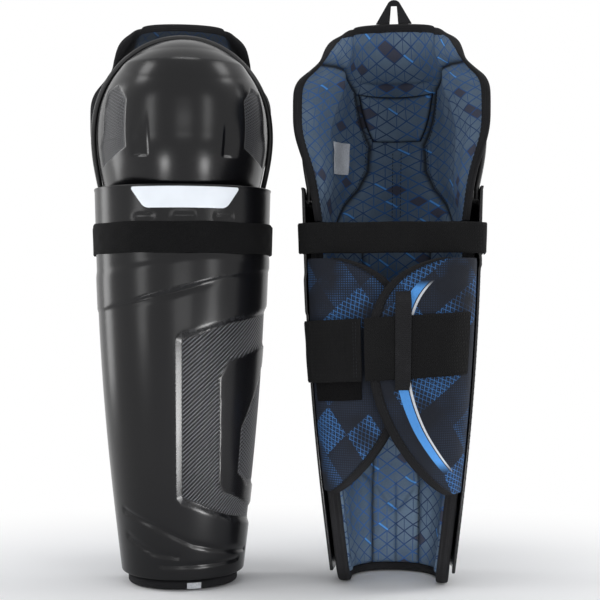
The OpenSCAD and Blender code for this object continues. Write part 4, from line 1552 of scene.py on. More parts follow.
    def strap(self) -> None:
        """Lays the wide elastic band over the outer flap."""
        calf = self.forms.calf
        turn = self.turns(self.root, self.band_end, 101)
        obj, a, v, face = Bench.slab("calf_band", turn, (0, 1, 33))
        soft = 0.18 * ripple(self.arc(a), v * self.strap_h, 61, 30)
        o = face * self.strap_t * (0.6 + 0.4 * edge_drop(0.5 + 0 * a, v, 90, self.strap_h, 1.2)) + soft
        Bench.mould(obj, calf.skin(a, self.height(a, v), self.band_side + o, self.band_back + o))
        Bench.plan(obj, self.arc(a), v * self.strap_h)
        middle = calf.skin(turn, self.height(turn, 0.5), self.band_side, self.band_back)
        twins = self.stand(obj, "elastic", Role("calf_strap", "outer_wrap", "webbing"))

    def keeper(self) -> None:
        """Sews the narrow keeper over the band."""
        calf = self.forms.calf
        clear = self.strap_h / 2 + 5
        foot = clear + 9
        over, sewn = self.strap_t + self.soft_gap, -1.3
        turn = self.turns(self.keeper_x + self.keeper_w / 2, self.keeper_x - self.keeper_w / 2, 15)
        obj, a, v, face = Bench.slab("keeper_band", turn, (-foot, foot, 79))
        k = mix(sewn, over, ease(-foot, -clear, v) * (1 - ease(clear, foot, v)))
        share = (a - turn[-1]) / (turn[0] - turn[-1])
        k = k + face * self.patch_t * (0.6 + 0.4 * edge_drop(share, 0.5 + 0 * v, 11, 60, 0.9))
        Bench.mould(obj, calf.skin(a, self.strap_z + 6 + v, self.band_side + k, self.band_back + k))
        Bench.plan(obj, v, self.arc(a))
        self.stand(obj, "webbing", Role("strap_keeper", "outer_wrap", "webbing"))

    def tab(self) -> None:
        """Makes the strap's pull tab with its sewn end."""
        calf = self.forms.calf
        seam, flat_turn = self.turns(self.band_end - 1, self.band_end - 14, 2)
        end = -math.degrees(math.asin(self.tab_reach / (float(calf.half(self.strap_z)) + self.tab_back)))
        turn = np.linspace(seam, end, 111)
        tip = self.arc(np.array(end))
        seam_run = self.arc(np.array(seam)) - tip

        def level(a: Array) -> Array:
            """Back offset of the tab's underside, from its flat end up to the band."""
            return mix(self.tab_back, self.band_back, np.clip((a - flat_turn) / (seam - flat_turn), 0, 1))

        obj, a, v, face = Bench.slab("pull_band", turn, (0, 1, 33))
        run = self.arc(a) - tip
        hem = 0.45 * (1 - ease(7, 8.5, run)) + 0.3 * bump(run, seam_run - 4, 2)
        edge = edge_drop(np.clip(run / 80, 0, 1), v, 80, self.strap_h, 1.3)
        soft = 0.15 * ripple(run, v * self.strap_h, 71, 26)
        k = level(a) + face * (self.strap_t + hem) * (0.6 + 0.4 * edge) + soft
        Bench.mould(obj, calf.skin(a, self.height(a, v), k, k))
        Bench.plan(obj, self.arc(a), v * self.strap_h)
        v_line = np.linspace(0.04, 0.96, 90)
        lines = []
        for turn_at, lift in ((end + 5.4, 2.3), (seam - 3.2, 2.1), (seam - 5.2, 2.0)):
            a_line = np.full(90, turn_at)
            k = level(a_line) + lift
            lines.append(calf.skin(a_line, self.height(a_line, v_line), k, k))
        thread = self.sew("tab_thread", lines, 1.8, 2.8, 0.5)
        middle = calf.skin(turn, self.height(turn, 0.5), level(turn), level(turn))
        self.pair.stand(thread, Role("", "tab", "webbing"))
        twins = self.stand(obj, "elastic", Role("strap_tab", "tab", "webbing"))

    def patch(self, name: str, look: str, role: Role, span: Flat, rows: Flat, back: float) -> None:
        """Sews one closing patch.

        Args:
            name: Name of the piece.
            look: Name of its finish.
            role: What it stands for.
            span: Side distances of its ends.
            rows: Shares of the strap's width of its lower and upper edge.
            back: Back offset of its underside.
        """
        calf = self.forms.calf
        turn = self.turns(*span, 61)
        obj, a, v, face = Bench.slab(name, turn, (*rows, 41))
        share = (a - turn[-1]) / (turn[0] - turn[-1])
        edge = edge_drop(share, (v - rows[0]) / (rows[1] - rows[0]), 30, 45, 1.0)
        o = face * self.patch_t * (0.5 + 0.5 * edge) + back
        Bench.mould(obj, calf.skin(a, self.height(a, v), o, o))
        Bench.plan(obj, self.arc(a), v * self.strap_h)
        self.stand(obj, look, role)

    def patches(self) -> None:
        """Makes the hook patch under the tab and the loop patch on the inner flap."""
        start, stop = self.band_end - 1, -(self.tab_reach - 10)
        hook, loop = Role("tab_hook", "tab", "hook"), Role("loop_patch", "inner_wrap", "loop_webbing")
        self.patch("hook_patch", "hook", hook, (start - 15, stop), (0.08, 0.92), self.hook_back)
        self.patch("pile_patch", "pile", loop, (start - 3, stop), (-0.3, 0.85), self.loop_back)

    def build(self) -> None:
        """Makes every piece of the group."""
        for make in (self.flaps, self.strap, self.keeper, self.tab, self.patches):
            make()


@dataclass
class UpperStrap(Group):
    """The back band of the upper strap and the hook end that closes it."""

    z: float = 284.0
    height: float = 25.0
    thick: float = 1.7
    bulge: float = 15.0
    out: float = 2.3
    foot: float = 0.6
    hook_len: float = 28.0
    hook_gap: float = 0.3

    def skin(self, p: Array, z: Array, o: Array) -> Array:
        """Point on the band round the back.

        Args:
            p: Turn from 1 at the outer side to -1.
            z: Height.
            o: Outward offset.

        Returns:
            Points as rows of x, y, z.
        """
        shin, t = self.forms.shin, np.radians(90 * p)
        x = (shin.half_w(z) + self.out + o) * np.sin(t)
        y = shin.wall(z) + self.foot + (self.bulge + o) * np.cos(t)
        return np.stack(np.broadcast_arrays(x, y, np.asarray(z, float)), axis=-1)

    def band(self) -> None:
        """Lays the elastic back band."""
        half_x, half_y, grid = 75, 17, np.linspace(0, math.pi / 2, 200)
        steps = np.hypot(half_x * np.cos(grid), half_y * np.sin(grid))[1:] * (grid[1] - grid[0])
        run = np.concatenate([[0], np.cumsum(steps)])
        obj, p, v, face = Bench.slab("back_band", (1, -1, 151), (0, 1, 21))
        girth = np.sign(p) * np.interp(np.abs(p) * math.pi / 2, grid, run)
        z = self.z + self.height * (v - 0.5) + 0.4 * ripple(girth, 0 * p, 81, 70)
        soft = 0.15 * ripple(girth, z, 82, 24)
        edge = edge_drop(0.5 + 0 * p, v, 90, self.height, 1.2)
        Bench.mould(obj, self.skin(p, z, face * self.thick * (0.6 + 0.4 * edge) + soft))
        Bench.plan(obj, girth, v * self.height)
        twins = self.stand(obj, "elastic", Role("strap_back", "upper_strap", "webbing"))
        line = self.skin(np.linspace(1, -1, 300), np.full(300, self.z), np.full(300, self.thick / 2))

    def hook_end(self) -> None:
        """Folds the hook end along the shell's side."""
        shin = self.forms.shin
        obj, q, v, face = Bench.slab("band_end", (1, 0, 31), (0, 1, 27))
        z = self.z + self.height * (v - 0.5)
        edge = edge_drop(q, v, self.hook_len, self.height, 1.4)
        o = face * self.thick * (0.55 + 0.45 * edge)
        x = shin.half_w(z) + self.out + o
        y = shin.wall(z) + self.foot - self.hook_gap - self.hook_len * q
        Bench.mould(obj, np.stack([x, y, z], axis=-1))
        Bench.plan(obj, q * self.hook_len, v * self.height)
        self.stand(obj, "webbing", Role("hook_end", "upper_strap", "hook"))

    def build(self) -> None:
        """Makes both pieces."""
        self.band()
        self.hook_end()


def tone(red: int, green: int, blue: int) -> tuple[float, float, float, float]:
    """Colour as a monitor shows it, turned to linear light."""
    shares = [c / 255 for c in (red, green, blue)]
    return (*[c / 12.92 if c < 0.04 else ((c + 0.055) / 1.055) ** 2.4 for c in shares], 1.0)


class Graph:
    """Adds nodes to a tree and links them."""

    def __init__(self, tree: Tree) -> None:
        """Keeps the tree."""
        self.tree = tree

    def put(self, socket: Socket, value: object) -> None:
        """Fills a socket.

        Args:
            socket: The socket.
            value: A socket to link, or a plain value.
        """
        if isinstance(value, Socket):
            self.tree.links.new(value, socket)
        else:
            socket.default_value = value

    def add(self, kind: str, inputs: Inputs | None = None, **settings: object) -> bpy.types.Node:
        """Adds a node.

        Args:
            kind: Type of the node.
            inputs: Values or sockets for its inputs.
            **settings: Properties of the node.

        Returns:
            The node.
        """
        node = self.tree.nodes.new(kind)
        for name, value in settings.items():
            setattr(node, name, value)
        for name, value in (inputs or {}).items():
            self.put(node.inputs[name], value)
        return node

    def math(self, kind: str, a: object, b: object = 0.0, c: object = 0.0, clamp: bool = False) -> Socket:
        """Adds a math node and gives its result."""
        return self.add("ShaderNodeMath", {0: a, 1: b, 2: c}, operation=kind, use_clamp=clamp).outputs[0]

    def times(self, a: object, b: object) -> Socket:
        """Product of two values."""
        return self.math("MULTIPLY", a, b)

    def scaled(self, value: object, size: object, start: object) -> Socket:
        """Start plus a value times a size."""
        return self.math("MULTIPLY_ADD", value, size, start)

    def rest(self, share: object) -> Socket:
        """What a share leaves of 1."""
        return self.math("SUBTRACT", 1.0, share)

    def group(self, tree: Tree, **inputs: object) -> bpy.types.NodeOutputs:
        """Places a shared group and gives its outputs."""
        return self.add("ShaderNodeGroup", inputs, node_tree=tree).outputs

    def blend(self, share: object, a: object, b: object) -> Socket:
        """Adds a colour mix and gives its result."""
        return self.add("ShaderNodeMix", {0: share, 6: a, 7: b}, data_type="RGBA").outputs[2]

    def step(self, value: object, low: object, high: object) -> Socket:
        """Smooth step of a value from low to high."""
        node = self.add("ShaderNodeMapRange", {0: value, 1: low, 2: high}, interpolation_type="SMOOTHSTEP")
        return node.outputs[0]

    def noise(self, vector: object, scale: object, detail: float) -> Socket:
        """Adds a noise and gives its value."""
        return self.add("ShaderNodeTexNoise", {"Vector": vector, "Scale": scale, "Detail": detail}).outputs[0]

    def uv(self) -> Socket:
        """Pattern distances of the piece, in units of 100 mm."""
        return self.add("ShaderNodeUVMap", uv_map="Cut").outputs[0]

    def mask(self, name: str) -> Socket:
        """Stored value of the piece's surface."""
        return self.add("ShaderNodeAttribute", attribute_name=name).outputs["Fac"]

    def bump(self, height: object, strength: float, distance: float, under: object = None) -> Socket:
        """Adds a bump and gives its normal.

        Args:
            height: Height socket.
            strength: Share of the effect.
            distance: Height of a full step, in mm.
            under: Normal that it is laid on.

        Returns:
            The normal socket.
        """
        node = self.add("ShaderNodeBump", {"Strength": strength, "Distance": distance * MM, "Height": height})
        if under is not None:
            self.put(node.inputs["Normal"], under)
        return node.outputs[0]


class Groups:
    """Shader groups that several finishes share."""

    def __init__(self) -> None:
        """Builds every group once."""
        self.lines = self.make_lines()
        self.weave = self.make_weave()
        self.lattice = self.make_lattice()
        self.mottle = self.make_mottle()

    @staticmethod
    def open(name: str, inputs: dict[str, float], outputs: Sequence[str]) -> tuple[Graph, Sockets, Sockets]:
        """Starts a group that reads a vector and some numbers.

        Args:
            name: Name of the group.
            inputs: Default of each number by name.
            outputs: Names of the float outputs.

        Returns:
            The group's graph, its sockets to read and its sockets to fill, by name.
        """
        tree = bpy.data.node_groups.new(name, "ShaderNodeTree")
        tree.interface.new_socket("Vector", in_out="INPUT", socket_type="NodeSocketVector")
        for label, value in inputs.items():
            socket = tree.interface.new_socket(label, in_out="INPUT", socket_type="NodeSocketFloat")
            socket.default_value = value
        for label in outputs:
            tree.interface.new_socket(label, in_out="OUTPUT", socket_type="NodeSocketFloat")
        graph = Graph(tree)
        source, sink = graph.add("NodeGroupInput").outputs, graph.add("NodeGroupOutput").inputs
        return graph, {s.name: s for s in source}, {s.name: s for s in sink}

    def make_lines(self) -> Tree:
        """Parallel lines at an angle: how near each point is to a line, and which stripe it is in.

        Returns:
            The group.
        """
        wanted = {"Pitch": 5.0, "Angle": 0.0, "Line": 0.4, "Phase": 0.0}
        g, source, out = self.open("Parallel lines", wanted, ("Line", "Stripe", "Wave"))
        xyz = g.add("ShaderNodeSeparateXYZ", {0: source["Vector"]}).outputs
        turn = g.math("RADIANS", source["Angle"])
        along = g.math("ADD", g.times(xyz[0], g.math("COSINE", turn)), g.times(xyz[1], g.math("SINE", turn)))
        place = g.math("ADD", g.math("DIVIDE", g.times(along, 100.0), source["Pitch"]), source["Phase"])
        far = g.times(g.math("ABSOLUTE", g.math("SUBTRACT", g.math("FRACT", place), 0.5)), source["Pitch"])
        half = g.times(source["Line"], 0.5)
        g.put(out["Line"], g.rest(g.step(far, g.times(half, 0.6), g.times(half, 1.4))))
        g.put(out["Stripe"], g.math("ROUND", place))
        g.put(out["Wave"], g.scaled(g.math("SINE", g.times(place, math.tau)), 0.5, 0.5))
        return g.tree

    def make_weave(self) -> Tree:
        """Plain weave: height of the crossing yarns and their uneven shade.

        Returns:
            The group.
        """
        g, source, out = self.open("Yarn weave", {"Warp": 0.8, "Weft": 0.8}, ("Height", "Shade"))
        xyz = g.add("ShaderNodeSeparateXYZ", {0: source["Vector"]}).outputs
        a = g.math("SINE", g.math("DIVIDE", g.times(xyz[0], 100 * math.pi), source["Warp"]))
        b = g.math("SINE", g.math("DIVIDE", g.times(xyz[1], 100 * math.pi), source["Weft"]))
        fuzz = g.noise(source["Vector"], 60, 2.0)
        height = g.scaled(g.times(a, b), 0.5, 0.5)
        g.put(out["Height"], g.scaled(fuzz, 0.5, height))
        g.put(out["Shade"], g.math("MULTIPLY_ADD", height, 0.35, g.times(fuzz, 0.8), clamp=True))
        return g.tree

    def make_lattice(self) -> Tree:
        """Two families of lines that cross, and a chance value for each cell between them.

        Returns:
            The group.
        """
        wanted = {"Pitch": 9.0, "Line": 0.5, "First": 60.0, "Second": -60.0}
        g, source, out = self.open("Crossed lines", wanted, ("Lines", "Cell"))
        shared = {name: source[name] for name in ("Vector", "Pitch", "Line")}
        first, second = (g.group(self.lines, Angle=source[name], **shared) for name in ("First", "Second"))
        g.put(out["Lines"], g.math("MAXIMUM", first["Line"], second["Line"]))
        spot = g.add("ShaderNodeCombineXYZ", {0: first["Stripe"], 1: second["Stripe"]}).outputs[0]
        chance = g.add("ShaderNodeTexWhiteNoise", {"Vector": spot}, noise_dimensions="2D")
        g.put(out["Cell"], chance.outputs[0])
        return g.tree

    def make_mottle(self) -> Tree:
        """Uneven shade of a surface in large and small patches.

        Returns:
            The group.
        """
        g, source, out = self.open("Uneven shade", {"Size": 30.0}, ("Large", "Small"))
        scale = g.math("DIVIDE", 1000.0, source["Size"])
        g.put(out["Large"], g.noise(source["Vector"], scale, 2.0))
        g.put(out["Small"], g.noise(source["Vector"], g.times(scale, 14.0), 3.0))
        return g.tree


class Surface:
    """One material under construction."""

    def __init__(self, name: str) -> None:
        """Starts a material with its shader.

        Args:
            name: Name of the material.
        """
        self.material = bpy.data.materials.new(name)
        self.material.use_nodes = True
        self.g = Graph(self.material.node_tree)
        self.shader = self.material.node_tree.nodes["Principled BSDF"]
        self.spot = self.g.add("ShaderNodeTexCoord").outputs["Object"]

    def set(self, **values: object) -> Material:
        """Sets the shader's sockets.

        Args:
            **values: Values or sockets by name, with _ for a space.

        Returns:
            The finished material.
        """
        for name, value in values.items():
            self.g.put(self.shader.inputs[name.replace("_", " ")], value)
        return self.material


@dataclass(frozen=True)
class MouldedBlack:
    """Glossy moulded plastic with ribs and grained fields where the piece's masks say so, and painted
    highlights on the rib crests, the grain lines and the scuffed edges.
    """

    base: Colour = (13, 13, 15)
    # Tone of the scuffed edges, which also serves as a painted highlight on them.
    scuff_and_highlight: Colour = (66, 67, 70)
    # Painted highlight on the rib crests and the grain lines.
    crest: Colour = (108, 109, 114)
    gloss: float = 0.24
    grained: float = 0.5
    rib_pitch: float = 2.5

    def make(self, groups: Groups) -> Material:
        """Builds the material.

        Args:
            groups: The shared shader groups.

        Returns:
            The material.
        """
        s = Surface("moulded black")
        g, uv = s.g, s.g.uv()
        shade = g.group(groups.mottle, Vector=s.spot, Size=45.0)
        ribs = g.group(groups.lines, Vector=uv, Pitch=self.rib_pitch, Angle=-48.0, Line=1.2)
        cells = g.group(groups.lattice, Vector=uv, Pitch=2.6, Line=0.7, First=58.0, Second=-58.0)
        ribbed, grained, scuff_and_highlight = g.mask("ribbed"), g.mask("grained"), g.mask("scuff_and_highlight")
        # Scuffs and painted highlight: the marked edges are lightened in patches.
        scuff_and_highlight_spots = g.times(scuff_and_highlight, g.step(shade["Small"], 0.38, 0.62))
        colour = g.blend(g.times(scuff_and_highlight_spots, 0.22), tone(*self.base), tone(*self.scuff_and_highlight))
        # Grain lines in the pockets lightened: painted highlight.
        colour = g.blend(g.times(g.times(cells["Lines"], grained), 0.5), colour, tone(*self.crest))
        # Rib crests lightened: painted highlight.
        crest = g.times(g.math("POWER", ribs["Wave"], 2.0), ribbed)
        colour = g.blend(g.times(crest, 0.7), colour, tone(*self.crest))
        rough = g.scaled(shade["Large"], 0.10, self.gloss - 0.05)
        rough = g.scaled(grained, self.grained - self.gloss, rough)
        rough = g.scaled(ribbed, 0.12, rough)
        normal = g.bump(g.times(ribs["Wave"], ribbed), 1.0, 1.1)
        normal = g.bump(g.times(g.rest(cells["Lines"]), grained), 0.9, 0.8, normal)
        normal = g.bump(shade["Small"], 0.12, 0.10, normal)
        return s.set(Base_Color=colour, Roughness=rough, Normal=normal, Specular_IOR_Level=0.28)


@dataclass(frozen=True)
class PlainMoulded:
    """Satin plastic in one colour with a fine grain."""

    name: str
    base: Colour
    rough: float
    grain: float = 0.12
    uneven: float = 0.1

    def make(self, groups: Groups) -> Material:
        """Builds the material.

        Args:
            groups: The shared shader groups.

        Returns:
            The material.
        """
        s = Surface(self.name)
        g = s.g
        shade = g.group(groups.mottle, Vector=s.spot, Size=22.0)
        dark = tuple(int(c * (1 - self.uneven)) for c in self.base)
        colour = g.blend(g.step(shade["Large"], 0.35, 0.65), tone(*dark), tone(*self.base))
        rough = g.scaled(shade["Small"], 0.16, self.rough - 0.08)
        return s.set(Base_Color=colour, Roughness=rough, Normal=g.bump(shade["Small"], 0.5, self.grain))


@dataclass(frozen=True)
class QuiltedPrint:
    """Lining cloth with a printed rhombus grid."""

    base: Colour = (98, 117, 137)
    deep: Colour = (81, 98, 116)
    dark: Colour = (66, 68, 82)
    line: Colour = (36, 92, 158)
    navy: Colour = (18, 45, 86)
    bright: Colour = (82, 150, 222)
    seam: Colour = (15, 16, 18)

    def make(self, groups: Groups) -> Material:
        """Builds the material.

        Args:
            groups: The shared shader groups.

        Returns:
            The material.
        """
        s = Surface("quilted print")
        g, uv = s.g, s.g.uv()
        grid = g.group(groups.lattice, Vector=uv, Pitch=9.6, Line=1.0, First=57.0, Second=-57.0)
        post = g.group(groups.lines, Vector=uv, Pitch=8.81, Angle=0.0, Line=0.8, Phase=0.5)
        bar = g.group(groups.lines, Vector=uv, Pitch=9.6, Angle=57.0, Line=1.5, Phase=-0.1)
        weave = g.group(groups.weave, Vector=uv, Warp=0.75, Weft=0.75)
        shade = g.group(groups.mottle, Vector=s.spot, Size=55.0)
        cell, large = grid["Cell"], g.step(shade["Large"], 0.35, 0.65)
        cloth = g.blend(large, tone(*self.deep), tone(*self.base))
        cloth = g.blend(g.step(cell, 0.95, 0.951), cloth, tone(*self.dark))
        posts = g.times(post["Line"], g.rest(g.step(cell, 0.45, 0.451)))
        net = g.math("MAXIMUM", grid["Lines"], g.times(posts, 0.8))
        cloth = g.blend(g.times(net, 0.9), cloth, g.blend(large, tone(*self.line), tone(*self.navy)))
        bars = g.times(bar["Line"], g.rest(g.step(cell, 0.04, 0.041)))
        cloth = g.blend(bars, cloth, tone(*self.bright))
        cloth = g.blend(g.times(weave["Shade"], 0.30), cloth, tone(24, 28, 36))
        cloth = g.blend(g.math("MAXIMUM", g.mask("seam"), g.mask("outer")), cloth, tone(*self.seam))
        normal = g.bump(weave["Height"], 0.55, 0.22)
        normal = g.bump(shade["Small"], 0.25, 0.25, normal)
        rough = g.scaled(weave["Shade"], 0.12, 0.74)
        return s.set(Base_Color=cloth, Roughness=rough, Normal=normal, Specular_IOR_Level=0.25)


@dataclass(frozen=True)
class WrapPrint:
    """Dark wrap cloth with fields of fine blue hatching and a two-colour stripe along the free edge."""

    base: Colour = (27, 31, 40)
    haze: Colour = (44, 58, 82)
    hatch: Colour = (72, 132, 200)
    stripe: Colour = (92, 164, 240)
    white: Colour = (226, 230, 236)

    def make(self, groups: Groups) -> Material:
        """Builds the material.

        Args:
            groups: The shared shader groups.

        Returns:
            The material.
        """
        s = Surface("wrap print")
        g, uv = s.g, s.g.uv()
        weave = g.group(groups.weave, Vector=uv, Warp=0.8, Weft=0.8)
        fine = g.group(groups.lattice, Vector=uv, Pitch=3.4, Line=0.42, First=68.0, Second=-8.0)
        dots = g.group(groups.lattice, Vector=uv, Pitch=1.9, Line=0.75, First=0.0, Second=90.0)
        fields = g.group(groups.lattice, Vector=uv, Pitch=27.0, Line=0.2, First=35.0, Second=-50.0)
        drift = g.noise(uv, 2.6, 2.0)
        spots = g.times(g.rest(dots["Lines"]), g.step(drift, 0.40, 0.62))
        cloth = g.blend(g.times(spots, 0.55), tone(*self.base), tone(*self.haze))
        spots = g.times(spots, g.step(fields["Cell"], 0.45, 0.5))
        cloth = g.blend(g.times(spots, 0.35), cloth, tone(*self.hatch))
        crossed = g.times(fine["Lines"], g.step(fields["Cell"], 0.76, 0.77))
        crossed = g.times(crossed, g.step(drift, 0.30, 0.55))
        cloth = g.blend(g.times(crossed, 0.85), cloth, tone(*self.hatch))
        inset, gate = g.mask("inset"), g.mask("stripe")
        band = g.times(g.step(inset, 15.0, 15.5), g.rest(g.step(inset, 22.8, 23.3)))
        edge = g.times(g.step(inset, 23.8, 24.2), g.rest(g.step(inset, 25.8, 26.2)))
        cloth = g.blend(g.times(band, gate), cloth, tone(*self.stripe))
        cloth = g.blend(g.times(edge, gate), cloth, tone(*self.white))
        cloth = g.blend(g.times(weave["Shade"], 0.22), cloth, tone(10, 11, 14))
        normal = g.bump(weave["Height"], 0.5, 0.2)
        rough = g.scaled(weave["Shade"], 0.1, 0.76)
        return s.set(Base_Color=cloth, Roughness=rough, Normal=normal, Specular_IOR_Level=0.25)


@dataclass(frozen=True)
class Woven:
    """Woven tape or elastic with ribs across and yarns along."""

    name: str
    base: Colour
    warp: float
    weft: float
    rib: float
    depth: float
    fuzz: float = 0.3

    def make(self, groups: Groups) -> Material:
        """Builds the material.

        Args:
            groups: The shared shader groups.

        Returns:
            The material.
        """
        s = Surface(self.name)
        g, uv = s.g, s.g.uv()
        weave = g.group(groups.weave, Vector=uv, Warp=self.warp, Weft=self.weft)
        ribs = g.group(groups.lines, Vector=uv, Pitch=self.rib, Angle=0.0, Line=0.5)
        shade = g.group(groups.mottle, Vector=s.spot, Size=26.0)
        light, dark = tuple(int(c * 1.5 + 5) for c in self.base), tuple(int(c * 0.55) for c in self.base)
        colour = g.blend(g.times(ribs["Wave"], 0.55), tone(*dark), tone(*self.base))
        colour = g.blend(g.times(weave["Shade"], 0.35), colour, tone(*light))
        colour = g.blend(g.times(g.step(shade["Large"], 0.4, 0.7), 0.25), colour, tone(*light))
        normal = g.bump(g.scaled(ribs["Wave"], 0.7, weave["Height"]), 0.8, self.depth)
        normal = g.bump(shade["Small"], self.fuzz, 0.3, normal)
        rough = g.scaled(shade["Small"], 0.1, 0.8)
        return s.set(Base_Color=colour, Roughness=rough, Normal=normal, Specular_IOR_Level=0.2)


@dataclass(frozen=True)
class Pile:
    """Fuzzy loop pile, brushed foam or hook stubble."""

    name: str
    base: Colour
    light: Colour
    size: float
    depth: float

    def make(self, groups: Groups) -> Material:
        """Builds the material.

        Args:
            groups: The shared shader groups.

        Returns:
            The material.
        """
        s = Surface(self.name)
        g = s.g
        shade = g.group(groups.mottle, Vector=s.spot, Size=18.0)
        wanted = {"Vector": s.spot, "Scale": 1000.0 / self.size, "Randomness": 0.85}
        tuft = g.rest(g.add("ShaderNodeTexVoronoi", wanted).outputs["Distance"])
        colour = g.blend(g.times(g.step(tuft, 0.3, 0.9), 0.6), tone(*self.base), tone(*self.light))
        colour = g.blend(g.times(g.step(shade["Large"], 0.35, 0.7), 0.35), colour, tone(*self.light))
        normal = g.bump(tuft, 0.9, self.depth)
        normal = g.bump(shade["Small"], 0.4, 0.4, normal)
        rough = g.scaled(tuft, 0.1, 0.84)
        return s.set(Base_Color=colour, Roughness=rough, Normal=normal, Specular_IOR_Level=0.15)


class Finishes:
    """Every material of the guards, by the name that the pieces ask for."""

    def __init__(self) -> None:
        """Builds the materials."""
        groups = Groups()
        looks = {
            "shell": MouldedBlack(),
            "trim": PlainMoulded("rim bead", (18, 18, 20), 0.42, 0.08),
            "plate": PlainMoulded("name board", (226, 231, 237), 0.42, 0.05, 0.02),
            "liner": QuiltedPrint(),
            "flap": WrapPrint(),
            "tape": Woven("edge tape", (24, 24, 26), 0.9, 0.9, 1.8, 0.25, 0.5),
            "elastic": Woven("wide elastic", (12, 12, 13), 0.7, 1.4, 1.4, 0.35),
            "webbing": Woven("narrow webbing", (30, 30, 32), 0.8, 1.1, 1.6, 0.4),
            "thread": Woven("sewing thread", (38, 39, 42), 0.5, 0.5, 0.6, 0.1),
            "label": Woven("woven label", (186, 189, 193), 0.5, 0.5, 0.9, 0.1, 0.1),
            "pile": Pile("loop pile", (5, 5, 6), (13, 13, 14), 0.9, 0.5),
            "hook": Pile("hook stubble", (12, 12, 13), (36, 36, 38), 1.5, 0.7),
            "foam": Pile("padding foam", (52, 54, 58), (82, 84, 88), 1.1, 0.3),
        }
        self.materials = {name: look.make(groups) for name, look in looks.items()}

    def dress(self, obj: Obj, name: str) -> None:
        """Gives a piece its only material."""
        obj.data.materials.clear()
        obj.data.materials.append(self.materials[name])


@dataclass(frozen=True)
class Lamp:
    """One soft box: where it hangs, its width and height, its watts, its aim and its beam in degrees."""

    name: str
    place: Point
    size: Flat
    power: float
    aim: Point = (0.0, 0.0, 0.24)
    beam: float = 180.0

    def hang(self) -> None:
        """Adds the lamp to the scene, out of the camera's sight."""
        data = bpy.data.lights.new(self.name, "AREA")
        data.shape, data.size, data.size_y, data.energy = "RECTANGLE", *self.size, self.power
        data.spread = math.radians(self.beam)
        lamp = bpy.data.objects.new(self.name, data)
        lamp.location = self.place
        lamp.visible_camera = False
        lamp.rotation_euler = (Vector(self.aim) - Vector(self.place)).to_track_quat("-Z", "Y").to_euler()
        bpy.context.scene.collection.objects.link(lamp)


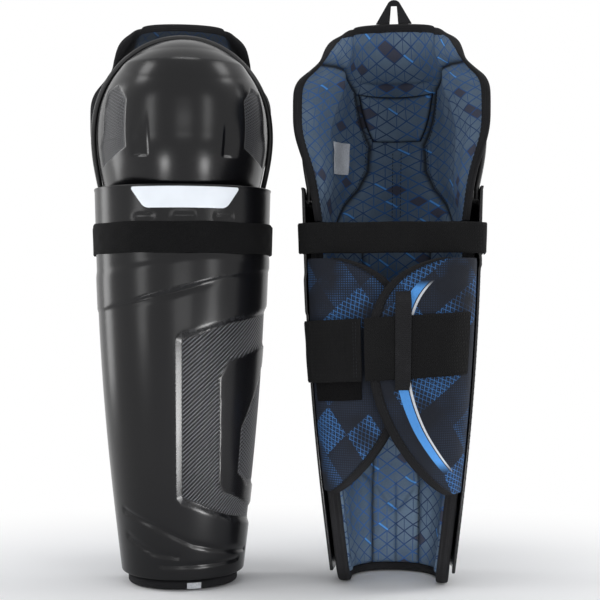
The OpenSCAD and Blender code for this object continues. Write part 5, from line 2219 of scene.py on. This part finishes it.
@dataclass(frozen=True)
class Studio:
    """White studio with soft lamps and the photograph's camera."""

    eye: Point = (0.0145, -1.05, 0.234)
    lens: float = 75.0
    clear_from: float = 0.16
    clear_to: float = 0.60
    lamps: tuple[Lamp, ...] = (
        Lamp("left_box", (-1.1, -1.0, 0.34), (0.28, 0.6), 2.4),
        Lamp("right_box", (0.85, -1.05, 0.30), (0.26, 0.55), 1.8),
        Lamp("front_box", (0.06, -1.6, 0.12), (0.6, 0.4), 1.9),
        Lamp("panel_card", (0.122, -0.277, 0.08), (0.1, 0.16), 0.12, (-0.083, -0.058, 0.14), 50),
        Lamp("left_bowl_card", (-0.28, -0.347, 0.02), (0.1, 0.1), 0.02, (-0.1, -0.06, 0.345), 30),
        Lamp("right_bowl_card", (0.19, -0.28, 0.02), (0.1, 0.1), 0.02, (-0.06, -0.06, 0.345), 30),
        Lamp("liner_card", (0.09, -0.45, 0.03), (0.15, 0.05), 0.035, (0.093, 0.04, 0.05), 24),
        Lamp("top_box", (0.0, -0.25, 1.6), (0.6, 0.25), 3.0),
        Lamp("left_high_box", (-1.0, -0.28, 1.15), (0.35, 0.35), 2.6),
        Lamp("right_high_box", (0.85, -0.05, 1.15), (0.35, 0.35), 2.6),
        Lamp("left_edge_box", (-1.2, 0.35, 0.35), (0.35, 1.1), 5.5),
        Lamp("right_edge_box", (1.2, 0.35, 0.35), (0.35, 1.1), 5.5),
    )

    def camera(self) -> None:
        """Sets the camera."""
        data = bpy.data.cameras.new("studio_camera")
        data.lens, data.sensor_width = self.lens, 36.0
        camera = bpy.data.objects.new("studio_camera", data)
        camera.location, camera.rotation_euler = self.eye, (math.pi / 2, 0, 0)
        bpy.context.scene.collection.objects.link(camera)
        bpy.context.scene.camera = camera

    @staticmethod
    def seen(g: Graph) -> Socket:
        """Tells which rays see the plain background.

        Args:
            g: Graph that gets the nodes.

        Returns:
            Share of 1 for camera, glossy and transmission rays.
        """
        path = g.add("ShaderNodeLightPath").outputs
        share = g.math("ADD", path["Is Camera Ray"], path["Is Glossy Ray"], clamp=True)
        return g.math("ADD", share, path["Is Transmission Ray"], clamp=True)

    def world(self) -> None:
        """Makes the background white and lights the scene softly."""
        world = bpy.data.worlds.new("white_room")
        bpy.context.scene.world = world
        world.use_nodes = True
        g = Graph(world.node_tree)
        back = world.node_tree.nodes["Background"]
        g.put(back.inputs["Color"], g.blend(self.seen(g), (0.46, 0.47, 0.49, 1), (1, 1, 1, 1)))
        back.inputs["Strength"].default_value = 1.0

    def floor(self) -> None:
        """Lays a pale floor that runs out into the white background."""
        Bench.clear()
        bpy.ops.mesh.primitive_grid_add(x_subdivisions=8, y_subdivisions=8, size=6, location=(0, 0, -0.0005))
        plane = bpy.context.object
        plane.name = "studio_floor"
        s = Surface("pale floor")
        material = s.set(Base_Color=(0.92, 0.92, 0.92, 1), Roughness=0.9, Specular_IOR_Level=0.0)
        g = s.g
        spot = g.add("ShaderNodeSeparateXYZ", {0: s.spot}).outputs
        squares = (g.math("POWER", spot[0], 2.0), g.math("POWER", g.times(spot[1], 1.5), 2.0))
        away = g.math("SQRT", g.math("ADD", *squares))
        share = g.times(g.step(away, self.clear_from, self.clear_to), self.seen(g))
        glow = g.add("ShaderNodeEmission", {"Color": (1, 1, 1, 1), "Strength": 1.0})
        mixer = g.add("ShaderNodeMixShader", {0: share, 1: s.shader.outputs[0], 2: glow.outputs[0]})
        g.put(g.tree.nodes["Material Output"].inputs["Surface"], mixer.outputs[0])
        plane.data.materials.append(material)

    def build(self) -> None:
        """Sets up the whole studio."""
        self.camera()
        self.world()
        self.floor()
        for lamp in self.lamps:
            lamp.hang()


def main() -> None:
    """Dresses the pair of guards and sets up the studio."""
    logging.basicConfig(level=logging.INFO, format="%(message)s")
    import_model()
    bpy.context.scene.view_settings.view_transform = "Standard"
    Studio().build()
    forms, pair, kit = Forms(), Pair(), Finishes()
    for group in (ShinGroup, KneeGroup, CalfGroup, UpperStrap):
        group(forms, pair, kit).build()
    Bench.clear()
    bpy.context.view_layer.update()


if __name__ == "__main__":
    main()
